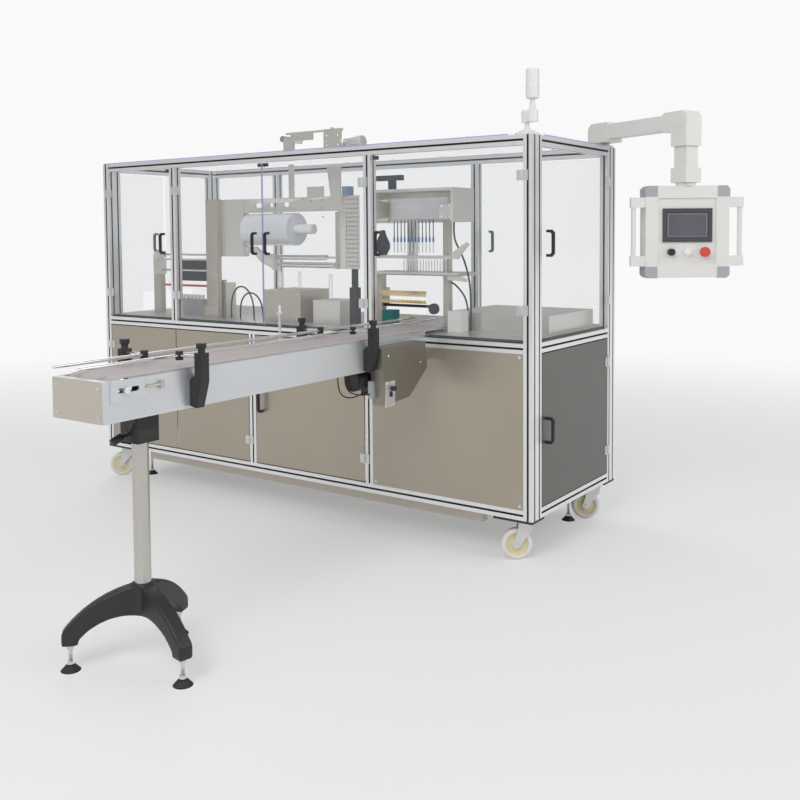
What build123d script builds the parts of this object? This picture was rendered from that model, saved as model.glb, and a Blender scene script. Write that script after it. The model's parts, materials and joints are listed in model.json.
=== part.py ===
from build123d import *
import os
from math import pi, radians, tan

# Machine frame. All sizes are millimetres: x runs along the front, y to the rear, z up from the floor.
frame_length = 2556.0
frame_depth = 814.0
frame_top = 1684.0
frame_bottom = 177.0
middle_rail_top = 874.0
profile = 40.0
corner_depth = 80.0
slot_width = 8.4
slot_lip = 3.6
slot_inner_width = 18.0
slot_inner_depth = 6.0
mid_post_left = 517.0
centre_post_left = 1744.0
lower_post_left = 1052.0
rear_post_left = 508.0
rear_post_right = 1822.0
table_thickness = 12.0
roof_thickness = 6.0
roof_inset = 3.0
panel_thickness = 2.0
pane_thickness = 5.0

# Doors
door_gap = 5.0
door_sheet = 5.0
steel_door_sheet = 3.0
upper_seam = 1150.5
lower_seam = 546.0
hinge_leaf = 20.0
hinge_height = 40.0
hinge_plate = 3.0
hinge_radius = 4.5
hinge_relief = 0.6
upper_hinge_heights = (1004.0, 1528.0)
lower_hinge_heights = (325.0, 726.0)
end_seam = 407.0
handle_length = 107.0
handle_reach = 34.0
handle_bar = 11.0
handle_corner = 12.0
upper_handle_height = 1264.0
lower_handle_height = 520.0
handle_edge = 38.0
infeed_notch = (1808.0, 2068.0)
infeed_notch_top = 1040.0
outlet_near = 249.0
outlet_far = 603.0
outlet_top = 992.0

# Casters and levelling feet
caster_x = 69.0
caster_y = 76.0
wheel_diameter = 125.0
wheel_width = 36.0
wheel_hub_radius = 17.0
wheel_rim_radius = 46.0
wheel_dish = 5.0
wheel_bore_clearance = 0.4
tread_chamfer = 6.0
wheel_lift = 2.0
caster_trail = 36.0
caster_heading = -145.0
fork_gap = 3.0
fork_plate = 4.0
axle_diameter = 12.0
corner_plate_x = 175.0
corner_plate_y = 105.0
corner_plate_thickness = 10.0
foot_bracket = 8.0
foot_bracket_margin = 35.0
seal_thickness = 6.0
foot_x = 150.0
foot_y = 165.0
foot_pad_diameter = 60.0
foot_pad_height = 16.0
foot_stud_diameter = 12.0
foot_nut_diameter = 22.0
foot_nut_height = 10.0
beam_width = 40.0
beam_height = 60.0
beam_setback = 75.0
beam_start_inset = 245.0
beam_end_inset = 266.0

# Infeed conveyor, along y in front of the machine
conveyor_left = 1836.0
conveyor_right = 2062.0
conveyor_top = 900.0
conveyor_height = 119.0
conveyor_near = -1620.0
side_plate = 3.0
end_cap_depth = 26.0
belt_gap = 3.0
table_slot_gap = 6.0
belt_thickness = 3.0
belt_proud = 5.0
near_pulley_radius = 32.0
nose_pulley_radius = 9.0
nose_reach = 165.0
nose_clearance = 20.0
near_pulley_inset = 75.0
tail_pulley_station = -90.0
axle_radius = 6.0
bed_thickness = 4.0
tension_plate = 4.0
tension_span = (-1595.0, -1472.0)
tension_bottom = 834.0
tension_slot = 78.0
tension_slot_height = 14.0
tension_bolt_end = -1408.0
tension_bolt_radius = 3.5
tension_lug = 12.0
axle_nut = 11.0
rod_diameter = 11.0
rod_height = 936.0
rod_offsets = (56.0, 165.0)
rod_near = -1655.0
rod_far = 180.0
right_brackets = (-1284.0, -412.0)
left_brackets = (-1329.0, -475.0)
bracket_width = 32.0
bracket_reach = 52.0
bracket_arm = 30.0
bracket_foot = 28.0
bracket_bottom = 782.0
bracket_knee = 80.0
bracket_seat_height = 84.0
bracket_top = 950.0
cross_arm_radius = 5.0
clamp_radius = 12.0
clamp_length = 28.0
knob_diameter = 32.0
knob_lobe = 6.0
knob_lobes = 5
knob_stem = 11.0
knob_lift = 14.0
knob_height = 16.0
sensor_y = -630.0
sensor_top = 1042.0
sensor_radius = 5.0
sensor_ring_height = 1017.0
sensor_ring = 11.0
sensor_foot = (24.0, 30.0)
stand_x = 1949.0
stand_y = -1400.0
tube_diameter = 51.0
tube_bottom = 160.0
hub_diameter = 66.0
hub_top = 254.0
hub_bottom = 153.0
leg_reach = 215.0
leg_width = 46.0
leg_heel = 24.0
leg_end_height = 78.0
leg_angles = (-131.0, -10.0, 109.0)
clamp_height = 96.0
clamp_width = 92.0
clamp_flange = 12.0
clamp_lever = 62.0
drive_box_thickness = 60.0
drive_box_outline = ((-392.0, 872.0), (-92.0, 872.0), (-80.0, 764.0), (-205.0, 664.0), (-372.0, 650.0))
switch_plate_span = (-372.0, -311.0)
switch_plate_height = (643.0, 742.0)
switch_plate = 4.0
switch_knob = (-334.0, 714.0)
switch_knob_radius = 9.0
switch_knob_reach = 18.0
rocker = (-340.0, 692.0)
rocker_size = (12.0, 20.0)
rocker_reach = 5.0
motor_x = 2017.0
motor_radius = 38.0
motor_near = -440.0
motor_cover = 3.0
gearbox_near = -330.0
gearbox_far = -240.0
gearbox_left = 1975.0
gearbox_bottom = 676.0
junction_near = -400.0
junction_width = 17.0
junction_height = (676.0, 743.0)
lead_radius = 2.5
lead_clip = (-543.0, -437.0)
lead_1 = (
    (2017.0, -528.0, 781.0), (2017.0, -528.0, 732.0), (2017.0, -500.0, 694.0), (2017.0, -440.0, 680.0),
    (2017.0, -386.0, 688.0), (2017.0, -330.0, 688.0),
)
lead_2 = (
    (1990.0, -452.0, 781.0), (1990.0, -452.0, 738.0), (2008.0, -452.0, 706.0), (2040.0, -452.0, 698.0),
    (2070.0, -428.0, 694.0), (2070.0, -400.0, 694.0),
)

# Signal lamp: its stepped foot stands beside the pole, joined by a knuckle
lamp_foot_shift = (-28.0, 10.0)
lamp_foot_steps = ((47.5, 8.0), (32.0, 16.0), (17.0, 24.0), (9.0, 50.0))
lamp_knuckle = (50.0, 95.0)
lamp_knuckle_radius = 22.0
lamp_pole = ((12.0, 116.0), (10.0, 138.0))
lamp_radius = 25.5
lamp_height = 112.0
lamp_ring = 2.5

# Control panel on its swinging arm
arm_inset_x = 46.0
arm_inset_y = 52.0
arm_foot = 84.0
arm_flange = 10.0
arm_base_height = 18.0
pivot_radius = 26.0
pivot_clearance = 0.5
arm_length = 511.0
arm_angle = -26.0
arm_tube_height = 62.0
arm_tube_width = 68.0
arm_axis_height = 1749.0
elbow_width = 84.0
elbow_rise = 9.0
elbow_sleeve = 90.0
elbow_bevel = 20.0
sleeve_bevel = 8.0
cap_radius = 28.0
cap_thickness = 3.0
collar_height = 60.0
neck_radius = 38.0
panel_angle = 35.0
panel_width = 336.0
panel_height = 369.0
panel_depth = 90.0
panel_top = 1490.0
panel_front = -30.0
panel_recess = 6.0
panel_corner = (48.0, 44.0)
panel_corner_proud = 2.0
panel_bevel = 12.0
face_side = 53.0
face_band = 50.0
bezel_size = (199.0, 135.0)
bezel_top = 91.0
display_size = (171.0, 97.0)
display_drop = 16.0
bezel_thickness = 6.0
button_height = 103.0
buttons = ((-66.0, 14.0, 22.0), (0.0, 15.0, 12.0), (66.0, 15.0, 16.0))
mushroom_radius = 20.0
mushroom_reach = 14.0
grip_reach = 58.0
grip_bar = 9.5
grip_arm = 41.0
grip_inset = 46.0
grip_depth = 26.0
neck_gap = 0.5
neck_height = 12.0

# Film unit over the table
film_column_x = (646.0, 726.0)
film_column_y = (122.0, 150.0)
film_column_top = 1485.0
film_column_foot = (12.0, 60.0)
housing_x = (700.0, 880.0)
housing_y = (152.0, 192.0)
housing_z = (1197.0, 1482.0)
housing_bracket = (700.0, 722.0)
film_beam_end = 1500.0
beam_plate_y = (160.0, 172.0)
beam_plate_z = (1413.0, 1481.0)
beam_slots = (978.0, 1070.0, 1163.0)
beam_slot_size = (52.0, 22.0)
beam_slot_height = 1449.0
beam_holes = ((1267.0, 1470.0), (1317.0, 1464.0), (1379.0, 1465.0), (1264.0, 1425.0), (1380.0, 1433.0))
beam_hole_radius = 4.0
roll_axis_y = 172.0
roll_axis_z = 1330.0
roll_span = (912.0, 1214.0)
roll_radius = 78.0
shaft_radius = 23.5
roll_bore_clearance = 1.0
shaft_end = 1320.0
chuck_radius = 44.5
chuck_thickness = 14.0
roller_1 = ((1083.0, 1397.0), 1196.0, 13.0)
roller_2 = ((1128.0, 1451.0), 1160.0, 14.0)
roller_shaft_radius = 5.0
roller_arm = (
    (880.0, 1246.0), (956.0, 1246.0), (1005.0, 1212.0), (1075.0, 1212.0), (1075.0, 1134.0), (985.0, 1172.0),
    (940.0, 1214.0), (880.0, 1214.0),
)
roller_lug_x = (1075.0, 1083.0)
roller_lug_z = (1134.0, 1212.0)
perforated_x = (1467.0, 1590.0)
perforated_z = (1144.0, 1482.0)
perforated_thickness = 3.0
perforated_flange_y = 150.0
hole_columns = 5
hole_rows = 16
hole_first = (1516.0, 1158.0)
hole_pitch = (15.5, 20.4)
hole_radius = 4.2
trapezoid = ((1416.0, 1620.0), (1498.0, 1617.0), (1496.0, 1439.0), (1443.0, 1440.0))
trapezoid_thickness = 6.0
pale_plate = ((1280.0, 1380.0), (1440.0, 1529.0))
hanger_plate = ((1165.0, 1197.0), (1430.0, 1640.0))
rear_plate_thickness = 6.0
beam_block_x = (1500.0, 1537.0)
beam_block_y = (160.0, 200.0)
beam_block_z = (1482.0, 1524.0)
actuator_x = (1539.0, 1576.0)
actuator_y = (160.0, 197.0)
actuator_piston = (1552.0, 1563.0)
actuator_body_top = 1060.0

# Boxes and rails on the table
long_box_far = 556.0
long_box_near = 56.0
long_box_front = 260.0
long_box_rear = 114.0
long_box_height = 76.0
rail_post_x = (119.0, 176.0)
rail_post_y = (230.0, 262.0)
rail_post_top = 1203.0
far_post_x = (596.0, 612.0)
rail_end_y = (186.0, 262.0)
rail_end_z = (1095.0, 1220.0)
rail_end_x = (141.0, 151.0)
bay_rails = ((246.0, 1203.0), (200.0, 1178.0), (230.0, 1118.0))
bay_rail_radius = 6.5
red_bar_size = 11.0
red_bar_height = 1029.0
red_bar_left = 90.0
valve_block = ((327.0, 508.0), (237.0, 262.0), (1062.0, 1177.0))
valve_count = 6
valve_radius = 9.0
valve_height = 22.0
manifold = ((329.0, 504.0), (225.0, 262.0), 966.0)
regulator = ((640.0, 740.0), (165.0, 235.0), 1061.0)
regulator_cap = (14.0, 14.0)
low_box = ((1053.0, 1284.0), (110.0, 330.0), 1040.0)
side_box = ((1328.0, 1489.0), (150.0, 300.0), 996.0)
staple_bar = 5.0
staples = ((1083.0, 18.0, 1040.0, 1128.0), (1210.0, 18.0, 1040.0, 1128.0), (1400.0, 20.0, 996.0, 1118.0))
staple_y = 180.0

# Folding unit over the end of the belt
fold_left_post = (1643.0, 1676.0)
fold_right_post = (2004.0, 2033.0)
fold_post_y = (230.0, 260.0)
fold_mid_post = (1767.0, 1805.0)
fold_mid_post_y = (300.0, 330.0)
carrier_x = (1643.0, 2116.0)
carrier_z = (1121.0, 1136.0)
head_z = (1354.0, 1501.0)
head_x = (1643.0, 2106.0)
head_y = (150.0, 324.0)
head_plate = 12.0
head_rods = ((190.0, 1455.0), (190.0, 1374.0))
head_rod_radius = 9.0
head_window_x = (2036.0, 2094.0)
head_window_z = (1366.0, 1428.0)
top_bar = ((1621.0, 1762.0), (260.0, 284.0), (1547.0, 1571.0))
top_bar_foot = (1690.0, 1720.0)
comb_bar_y = (174.0, 186.0)
comb_top_bar = (1681.0, 2116.0, 1196.0, 1210.0)
comb_low_bar = (1127.0, 1136.0)
pin_first = 1831.0
pin_last = 2050.0
pin_count = 16
pin_radius = 2.5
comb_y = (200.0, 206.0)
comb_x = (1694.0, 1933.0)
comb_rows = ((1027.0, 1039.0, 1051.0), (1010.0, 1002.0, 996.0))
comb_teeth = 20
comb_carrier = ((1676.0, 1694.0), (200.0, 262.0), (974.0, 1060.0))
fold_rod_y = 218.0
fold_rod_height = 984.0
fold_rod_radius = 6.5
fold_disc = ((1966.0, 975.0), (206.0, 222.0), 24.0)
cylinder_x = 1716.0
cylinder_outline = ((0.0, 0.0), (18.0, 0.0), (33.0, 30.0), (33.0, 52.0), (16.0, 90.0), (10.0, 112.0), (0.0, 112.0))
fold_motor = ((1693.0, 1749.0), (200.0, 260.0), 960.0)
white_block = ((2077.0, 2142.0), (150.0, 215.0), 975.0)
lever_1 = ((2088.0, 1196.0), (2116.0, 1196.0), (2173.0, 1258.0), (2160.0, 1268.0), (2088.0, 1222.0))
lever_2 = ((2053.0, 1121.0), (2116.0, 1121.0), (2150.0, 1110.0), (2146.0, 1098.0), (2053.0, 1106.0))
lever_thickness = 8.0

# Film mechanism on the roof
roof_base = ((1030.0, 1500.0), (270.0, 420.0), 6.0)
roof_plate_y = (280.0, 292.0)
roof_left_plate = ((1037.0, 1102.0), 1775.0)
roof_right_plate = ((1295.0, 1398.0), 1808.0)
roof_lug = (1335.0, 1358.0, 1816.0)
roof_roller = (1020.0, 1780.0, 15.5)
roof_roller_length = 140.0
roof_bar = ((1038.0, 1399.0), (1799.0, 1809.0))
roof_link = ((1103.0, 1213.0), (1766.0, 1799.0))
roof_motor = ((1399.0, 1494.0), 1740.0, 31.0)
roof_motor_y = 330.0

nodes = {}


def put(name, *solids):
    nodes.setdefault(name, []).extend(solids)


def block(x, y, z):
    return Pos((x[0] + x[1]) / 2, (y[0] + y[1]) / 2, (z[0] + z[1]) / 2) * Box(
        x[1] - x[0], y[1] - y[0], z[1] - z[0]
    )


def rod(start, end, radius):
    start, end = Vector(*start), Vector(*end)
    along = end - start
    return extrude(Plane(origin=start, z_dir=along) * Circle(radius), amount=along.length)


sections = {}


def slot_section(width, depth):
    if (width, depth) in sections:
        return sections[width, depth]
    section = Rectangle(width, depth)
    mouth = Pos(0, -slot_lip / 2) * Rectangle(slot_width, slot_lip)
    throat = Pos(0, -slot_lip - slot_inner_depth / 2) * Rectangle(slot_inner_width, slot_inner_depth)
    slot = mouth + throat
    for column in range(round(width / profile)):
        x = -width / 2 + profile * (column + 0.5)
        section -= Pos(x, depth / 2) * slot
        section -= Pos(x, -depth / 2) * Rot(0, 0, 180) * slot
    for row in range(round(depth / profile)):
        y = -depth / 2 + profile * (row + 0.5)
        section -= Pos(width / 2, y) * Rot(0, 0, -90) * slot
        section -= Pos(-width / 2, y) * Rot(0, 0, 90) * slot
    sections[width, depth] = section
    return section


def post(x, y, z, depth=profile):
    section = slot_section(profile, depth)
    return extrude(Pos(x + profile / 2, y + depth / 2, z[0]) * section, amount=z[1] - z[0])


def rail_x(x, y, z):
    plane = Plane(origin=(x[0], y + profile / 2, z + profile / 2), x_dir=(0, 1, 0), z_dir=(1, 0, 0))
    return extrude(plane * slot_section(profile, profile), amount=x[1] - x[0])


def rail_y(x, y, z):
    plane = Plane(origin=(x + profile / 2, y[0], z + profile / 2), x_dir=(1, 0, 0), z_dir=(0, 1, 0))
    return extrude(plane * slot_section(profile, profile), amount=y[1] - y[0])


# Where the four sides lie: on each, u runs to the right as seen from outside and y runs inwards
front = Location((0, 0, 0), (0, 0, 0))
right = Location((frame_length, 0, 0), (0, 0, 90))
rear = Location((frame_length, frame_depth, 0), (0, 0, 180))
left = Location((0, frame_depth, 0), (0, 0, -90))

top_rail_bottom = frame_top - profile
middle_rail_bottom = middle_rail_top - profile
bottom_rail_top = frame_bottom + profile
table_top = middle_rail_top + table_thickness
roof_top = frame_top + roof_thickness
inner_right = frame_length - profile
inner_rear = frame_depth - profile
side_front = corner_depth
side_rear = frame_depth - corner_depth
upper_opening = (middle_rail_top, top_rail_bottom)
lower_opening = (bottom_rail_top, middle_rail_bottom)


# Frame of slotted profiles
for x in (0, inner_right):
    put("posts", post(x, 0, (frame_bottom, frame_top), corner_depth))
    put("posts", post(x, side_rear, (frame_bottom, frame_top), corner_depth))
put("posts", post(mid_post_left, 0, upper_opening))
put("posts", post(centre_post_left, 0, upper_opening))
put("posts", post(centre_post_left, 0, lower_opening))
put("posts", post(lower_post_left, 0, lower_opening))
for x in (rear_post_left, rear_post_right):
    put("posts", post(x, inner_rear, upper_opening))
    put("posts", post(x, inner_rear, lower_opening))
for name, z in (
    ("top_rails", top_rail_bottom),
    ("middle_rails", middle_rail_bottom),
    ("bottom_rails", frame_bottom),
):
    for y in (0, inner_rear):
        put(name, rail_x((profile, inner_right), y, z))
    for x in (0, inner_right):
        put(name, rail_y(x, (side_front, side_rear), z))

# Table plate, laid on the middle rails and cut round the posts
table_edge = profile / 2 - pane_thickness / 2
table = block((profile, inner_right), (table_edge, frame_depth - table_edge), (middle_rail_top, table_top))
table += block(
    (table_edge, frame_length - table_edge), (side_front, side_rear), (middle_rail_top, table_top)
)
for x in (mid_post_left, centre_post_left):
    table -= block((x, x + profile), (0, profile), (middle_rail_top, table_top))
for x in (rear_post_left, rear_post_right):
    table -= block((x, x + profile), (inner_rear, frame_depth), (middle_rail_top, table_top))
table -= block(
    (conveyor_left - table_slot_gap, conveyor_right + table_slot_gap), (0, nose_reach + nose_clearance),
    (middle_rail_top, table_top)
)
put("table_plate", table)

# Roof sheet, with corners left free for the foot of the arm and the signal lamp
arm_x, arm_y = frame_length - arm_inset_x, frame_depth - arm_inset_y
roof = block(
    (roof_inset, frame_length - roof_inset), (roof_inset, frame_depth - roof_inset), (frame_top, roof_top)
)
roof -= block((arm_x - arm_foot / 2 - 2, frame_length), (arm_y - arm_foot / 2 - 2, frame_depth), (frame_top, roof_top))
lamp_x, lamp_y = frame_length - profile / 2, corner_depth / 2
lamp_seat = lamp_foot_steps[0][0] + 2
roof -= block(
    (lamp_x + lamp_foot_shift[0] - lamp_seat, frame_length), (0, lamp_y + lamp_foot_shift[1] + lamp_seat), (frame_top, roof_top))
put("roof_sheet", roof)


# Doors: sheet, hinge leaves and handle on the moving side, matching leaves on the posts
def knuckle(u, low, high):
    return Pos(u, -hinge_radius, low) * extrude(Circle(hinge_radius), amount=high - low)


def hinge_leaves(axis, centre, side):
    low, high = centre - hinge_height / 2, centre + hinge_height / 2
    third = hinge_height / 3
    band_low, band_high = low + third, high - third
    moving, fixed = [], []
    near, far = axis + side * (hinge_radius + hinge_relief), axis + side * (hinge_leaf + hinge_radius)
    door_leaf = block(sorted((near, far)), (-hinge_plate, 0), (low, high))
    door_leaf += block(sorted((axis, near)), (-hinge_plate, 0), (band_low + hinge_relief, band_high - hinge_relief))
    door_leaf += knuckle(axis, band_low + hinge_relief, band_high - hinge_relief)
    moving.append(door_leaf)
    near, far = axis - side * (hinge_radius + hinge_relief), axis - side * (hinge_leaf + hinge_radius)
    post_leaf = block(sorted((near, far)), (-hinge_plate, 0), (low, high))
    for z in ((low, band_low), (band_high, high)):
        post_leaf += block(sorted((axis, near)), (-hinge_plate, 0), z)
        post_leaf += knuckle(axis, *z)
    fixed.append(post_leaf)
    return moving, fixed


def handle(u, centre):
    low, high = centre - handle_length / 2, centre + handle_length / 2
    inner = handle_reach - handle_bar
    plane = Plane(origin=(u - handle_bar / 2, 0, 0), x_dir=(0, -1, 0), z_dir=(1, 0, 0))
    outline = Polyline(
        (0, -high), (inner, -high), (handle_reach, -high + handle_corner), (handle_reach, -low - handle_corner),
        (inner, -low), (0, -low), (0, -low - handle_bar), (inner - handle_bar / 2, -low - handle_bar),
        (inner, -low - handle_corner - handle_bar / 2), (inner, -high + handle_corner + handle_bar / 2),
        (inner - handle_bar / 2, -high + handle_bar), (0, -high + handle_bar), close=True,
    )
    return extrude(plane * make_face(outline), amount=handle_bar)


def door(name, side, span, opening, hinge, hinge_heights, handle_height, thickness, notch=None, slot="_fittings"):
    u = (span[0] + door_gap, span[1] - door_gap)
    z = (opening[0] + door_gap, opening[1] - door_gap)
    sheet = block(u, (0, thickness), z)
    if notch:
        sheet -= block(notch[0], (0, thickness), notch[1])
    put(name, side * sheet)
    turn = 1 if hinge == "left" else -1
    edge = span[0] if hinge == "left" else span[1]
    axis = edge + turn * door_gap / 2
    for centre in hinge_heights:
        moving, fixed = hinge_leaves(axis, centre, turn)
        put(name + slot, *[side * leaf for leaf in moving])
        put("frame_hinge_leaves", *[side * leaf for leaf in fixed])
    free = u[1] if hinge == "left" else u[0]
    put(name + slot, side * handle(free - turn * handle_edge, handle_height))
    handle_places[name] = (side, free - turn * handle_edge, handle_height)
    at = side * Pos(axis, -hinge_radius, 0)
    hinges[name] = (at.position, 1 if hinge == "left" else -1)


hinges = {}
handle_places = {}
half_gap = door_gap / 2
upper_spans = (
    ("upper_door_1", (profile, mid_post_left), "left"),
    ("upper_door_2", (mid_post_left + profile, upper_seam + half_gap), "left"),
    ("upper_door_3", (upper_seam - half_gap, centre_post_left), "right"),
    ("upper_door_4", (centre_post_left + profile, inner_right), "right"),
)
infeed_cut = ((infeed_notch[0] - door_gap - profile, infeed_notch[1]), (0, infeed_notch_top))
for name, span, hinge in upper_spans:
    door(
        name, front, span, upper_opening, hinge, upper_hinge_heights, upper_handle_height, door_sheet,
        infeed_cut if name == "upper_door_4" else None,
    )
door(
    "right_upper_door", right, (side_front, side_rear), upper_opening, "right",
    upper_hinge_heights, upper_handle_height, door_sheet,
)
end_span = (frame_depth - end_seam - half_gap, frame_depth - side_front)
outlet_cut = ((0, frame_depth - outlet_near), (0, outlet_top))
door(
    "end_door", left, end_span, upper_opening, "right",
    upper_hinge_heights, upper_handle_height, door_sheet, outlet_cut,
)
rear_span = (profile, frame_length - rear_post_right - profile)
door(
    "rear_door", rear, rear_span, upper_opening, "left",
    upper_hinge_heights, upper_handle_height, door_sheet,
)
lower_spans = (
    ("lower_door_1", front, (profile, lower_seam + half_gap), "left"),
    ("lower_door_2", front, (lower_seam - half_gap, lower_post_left), "right"),
    ("lower_door_3", front, (lower_post_left + profile, centre_post_left), "right"),
    ("right_lower_door", right, (side_front, side_rear), "right"),
)
for name, side, span, hinge in lower_spans:
    door(
        name, side, span, lower_opening, hinge, lower_hinge_heights, lower_handle_height, steel_door_sheet,
        slot="",
    )

# Fixed panes of acrylic and fixed steel panels, their edges held in the slots of the profiles
fit = 0.3
slot_bite = slot_lip + slot_inner_depth - fit


def fixed_sheet(name, side, span, opening, thickness, cut=None, free_end=False, on_table=False):
    y = (profile / 2 - thickness / 2, profile / 2 + thickness / 2)
    u = (span[0] - slot_bite, span[1] if free_end else span[1] + slot_bite)
    z = (opening[0] + fit if on_table else opening[0] - slot_bite, opening[1] + slot_bite)
    sheet = block(u, y, z)
    if cut:
        sheet -= block(cut[0], y, cut[1])
    put(name, side * sheet)


above_table = (table_top, top_rail_bottom)
end_fixed = (frame_depth - side_rear, frame_depth - end_seam - door_gap)
fixed_sheet(
    "fixed_panes", left, end_fixed, above_table, pane_thickness,
    ((frame_depth - outlet_far, frame_depth), (0, outlet_top)), free_end=True, on_table=True,
)
rear_bays = (
    (frame_length - rear_post_right, frame_length - rear_post_left - profile),
    (frame_length - rear_post_left, frame_length - profile),
)
for span in rear_bays:
    fixed_sheet("fixed_panes", rear, span, above_table, pane_thickness, on_table=True)
rear_lower_bays = (rear_span,) + rear_bays
for span in rear_lower_bays:
    fixed_sheet("fixed_panels", rear, span, lower_opening, panel_thickness)
fixed_sheet("fixed_panels", left, (side_front, side_rear), lower_opening, panel_thickness)
front_panel = block(
    (centre_post_left + profile + fit, inner_right - fit), (0, steel_door_sheet),
    (bottom_rail_top + fit, middle_rail_bottom - fit),
)
put("fixed_panels", front_panel)

# Plates under the corners, beams, brackets and levelling feet
plate_bottom = frame_bottom - corner_plate_thickness
beam_span = (beam_start_inset, frame_length - beam_end_inset)
for y in (beam_setback, frame_depth - beam_setback - beam_width):
    put("base_frame", block(beam_span, (y, y + beam_width), (frame_bottom - beam_height, frame_bottom)))


def mirrored(x, y):
    """The four places, one at each corner, with the signs that point into the machine."""
    for right_side in (False, True):
        for rear_side in (False, True):
            yield (
                frame_length - x if right_side else x,
                frame_depth - y if rear_side else y,
                -1 if right_side else 1,
                -1 if rear_side else 1,
            )


def levelling_foot(x, y, seat):
    """A pad, its threaded stud and a nut under the seat, each a piece of its own."""
    pad = Pos(x, y, foot_pad_height / 2) * Cone(foot_pad_diameter / 2, foot_pad_diameter / 4, foot_pad_height)
    stud = rod((x, y, foot_pad_height), (x, y, seat), foot_stud_diameter / 2)
    nut = Pos(x, y, seat - foot_nut_height) * extrude(RegularPolygon(foot_nut_diameter / 2, 6), amount=foot_nut_height)
    put("levelling_feet", pad, stud, nut - stud)


for x, y, turn_x, turn_y in mirrored(0, 0):
    across = sorted((x, x + turn_x * corner_plate_x))
    deep = sorted((y, y + turn_y * corner_plate_y))
    put("base_frame", block(across, deep, (plate_bottom, frame_bottom)))
    beam_end_x = beam_span[0] if turn_x > 0 else beam_span[1]
    across = sorted((x + turn_x * (foot_x - foot_bracket_margin), beam_end_x))
    deep = sorted((y + turn_y * corner_plate_y, y + turn_y * (foot_y + foot_bracket_margin)))
    put("base_frame", block(across, deep, (frame_bottom - foot_bracket, frame_bottom)))
for x, y, turn_x, turn_y in mirrored(foot_x, foot_y):
    levelling_foot(x, y, frame_bottom - foot_bracket)

# Casters: plate and ball race on the frame, fork that swivels, wheel that rolls
wheel_radius = wheel_diameter / 2
axle_height = wheel_radius + wheel_lift
race_radius = 30.0
race_height = 8.0
crown_top = plate_bottom - race_height - 0.4
crown_height = 5.0
fork_half = wheel_width / 2 + fork_gap
fork_top = crown_top - crown_height
bore_radius = axle_diameter / 2 + wheel_bore_clearance
wheel_half = wheel_width / 2
web_half = wheel_half - wheel_dish
wheel_section = make_face(Polyline(
    (bore_radius, -wheel_half), (wheel_hub_radius, -wheel_half), (wheel_hub_radius + wheel_dish, -web_half),
    (wheel_rim_radius - wheel_dish, -web_half), (wheel_rim_radius, -wheel_half),
    (wheel_radius - tread_chamfer, -wheel_half), (wheel_radius, -wheel_half + tread_chamfer),
    (wheel_radius, wheel_half - tread_chamfer), (wheel_radius - tread_chamfer, wheel_half),
    (wheel_rim_radius, wheel_half), (wheel_rim_radius - wheel_dish, web_half),
    (wheel_hub_radius + wheel_dish, web_half), (wheel_hub_radius, wheel_half), (bore_radius, wheel_half),
    close=True,
))
casters = []
for number, (x, y, turn_x, turn_y) in enumerate(mirrored(caster_x, caster_y), 1):
    at = Location((x, y, 0), (0, 0, caster_heading))
    race = Pos(0, 0, plate_bottom - race_height) * extrude(Circle(race_radius), amount=race_height)
    put("caster_mounts", at * race)
    crown = Pos(0, 0, fork_top) * extrude(Circle(race_radius + 6), amount=crown_height)
    fork = crown
    for turn in (-1, 1):
        profile_points = (
            (-race_radius, fork_top), (race_radius, fork_top), (race_radius + 4, fork_top - 30),
            (caster_trail + 15, axle_height), (caster_trail - 15, axle_height), (-race_radius + 6, fork_top - 30),
        )
        plane = Plane(origin=(0, turn * (fork_half + fork_plate / 2) + fork_plate / 2, 0), x_dir=(1, 0, 0), z_dir=(0, -1, 0))
        outline = make_face(Polyline(*profile_points, close=True)) + Pos(caster_trail, axle_height) * Circle(15)
        fork += extrude(plane * outline, amount=fork_plate)
    axle_reach = fork_half + fork_plate
    axle = rod((caster_trail, -axle_reach - 6, axle_height), (caster_trail, axle_reach + 6, axle_height), axle_diameter / 2)
    fork += axle
    put(f"caster_fork_{number}", at * fork)
    wheel = revolve(Plane(origin=(caster_trail, 0, axle_height), x_dir=(1, 0, 0), z_dir=(0, 0, 1)) * wheel_section, Axis(
        (caster_trail, 0, axle_height), (0, 1, 0)))
    put(f"caster_wheel_{number}", at * wheel)
    casters.append(((x, y), at * Pos(caster_trail, 0, axle_height)))

# Infeed conveyor: side plates slotted for the axle, end cap, slider bed, cross pieces and pulleys
def plate_along_y(outline, y):
    plane = Plane(origin=(0, y[1], 0), x_dir=(1, 0, 0), z_dir=(0, -1, 0))
    return extrude(plane * make_face(Polyline(*outline, close=True)), amount=y[1] - y[0])


def turned(x, y, outline):
    """A solid turned about an upright axis, from an outline of radius and height."""
    plane = Plane(origin=(x, y, 0), x_dir=(1, 0, 0), z_dir=(0, -1, 0))
    return revolve(plane * make_face(Polyline(*outline, close=True)), Axis((x, y, 0), (0, 0, 1)))


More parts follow.
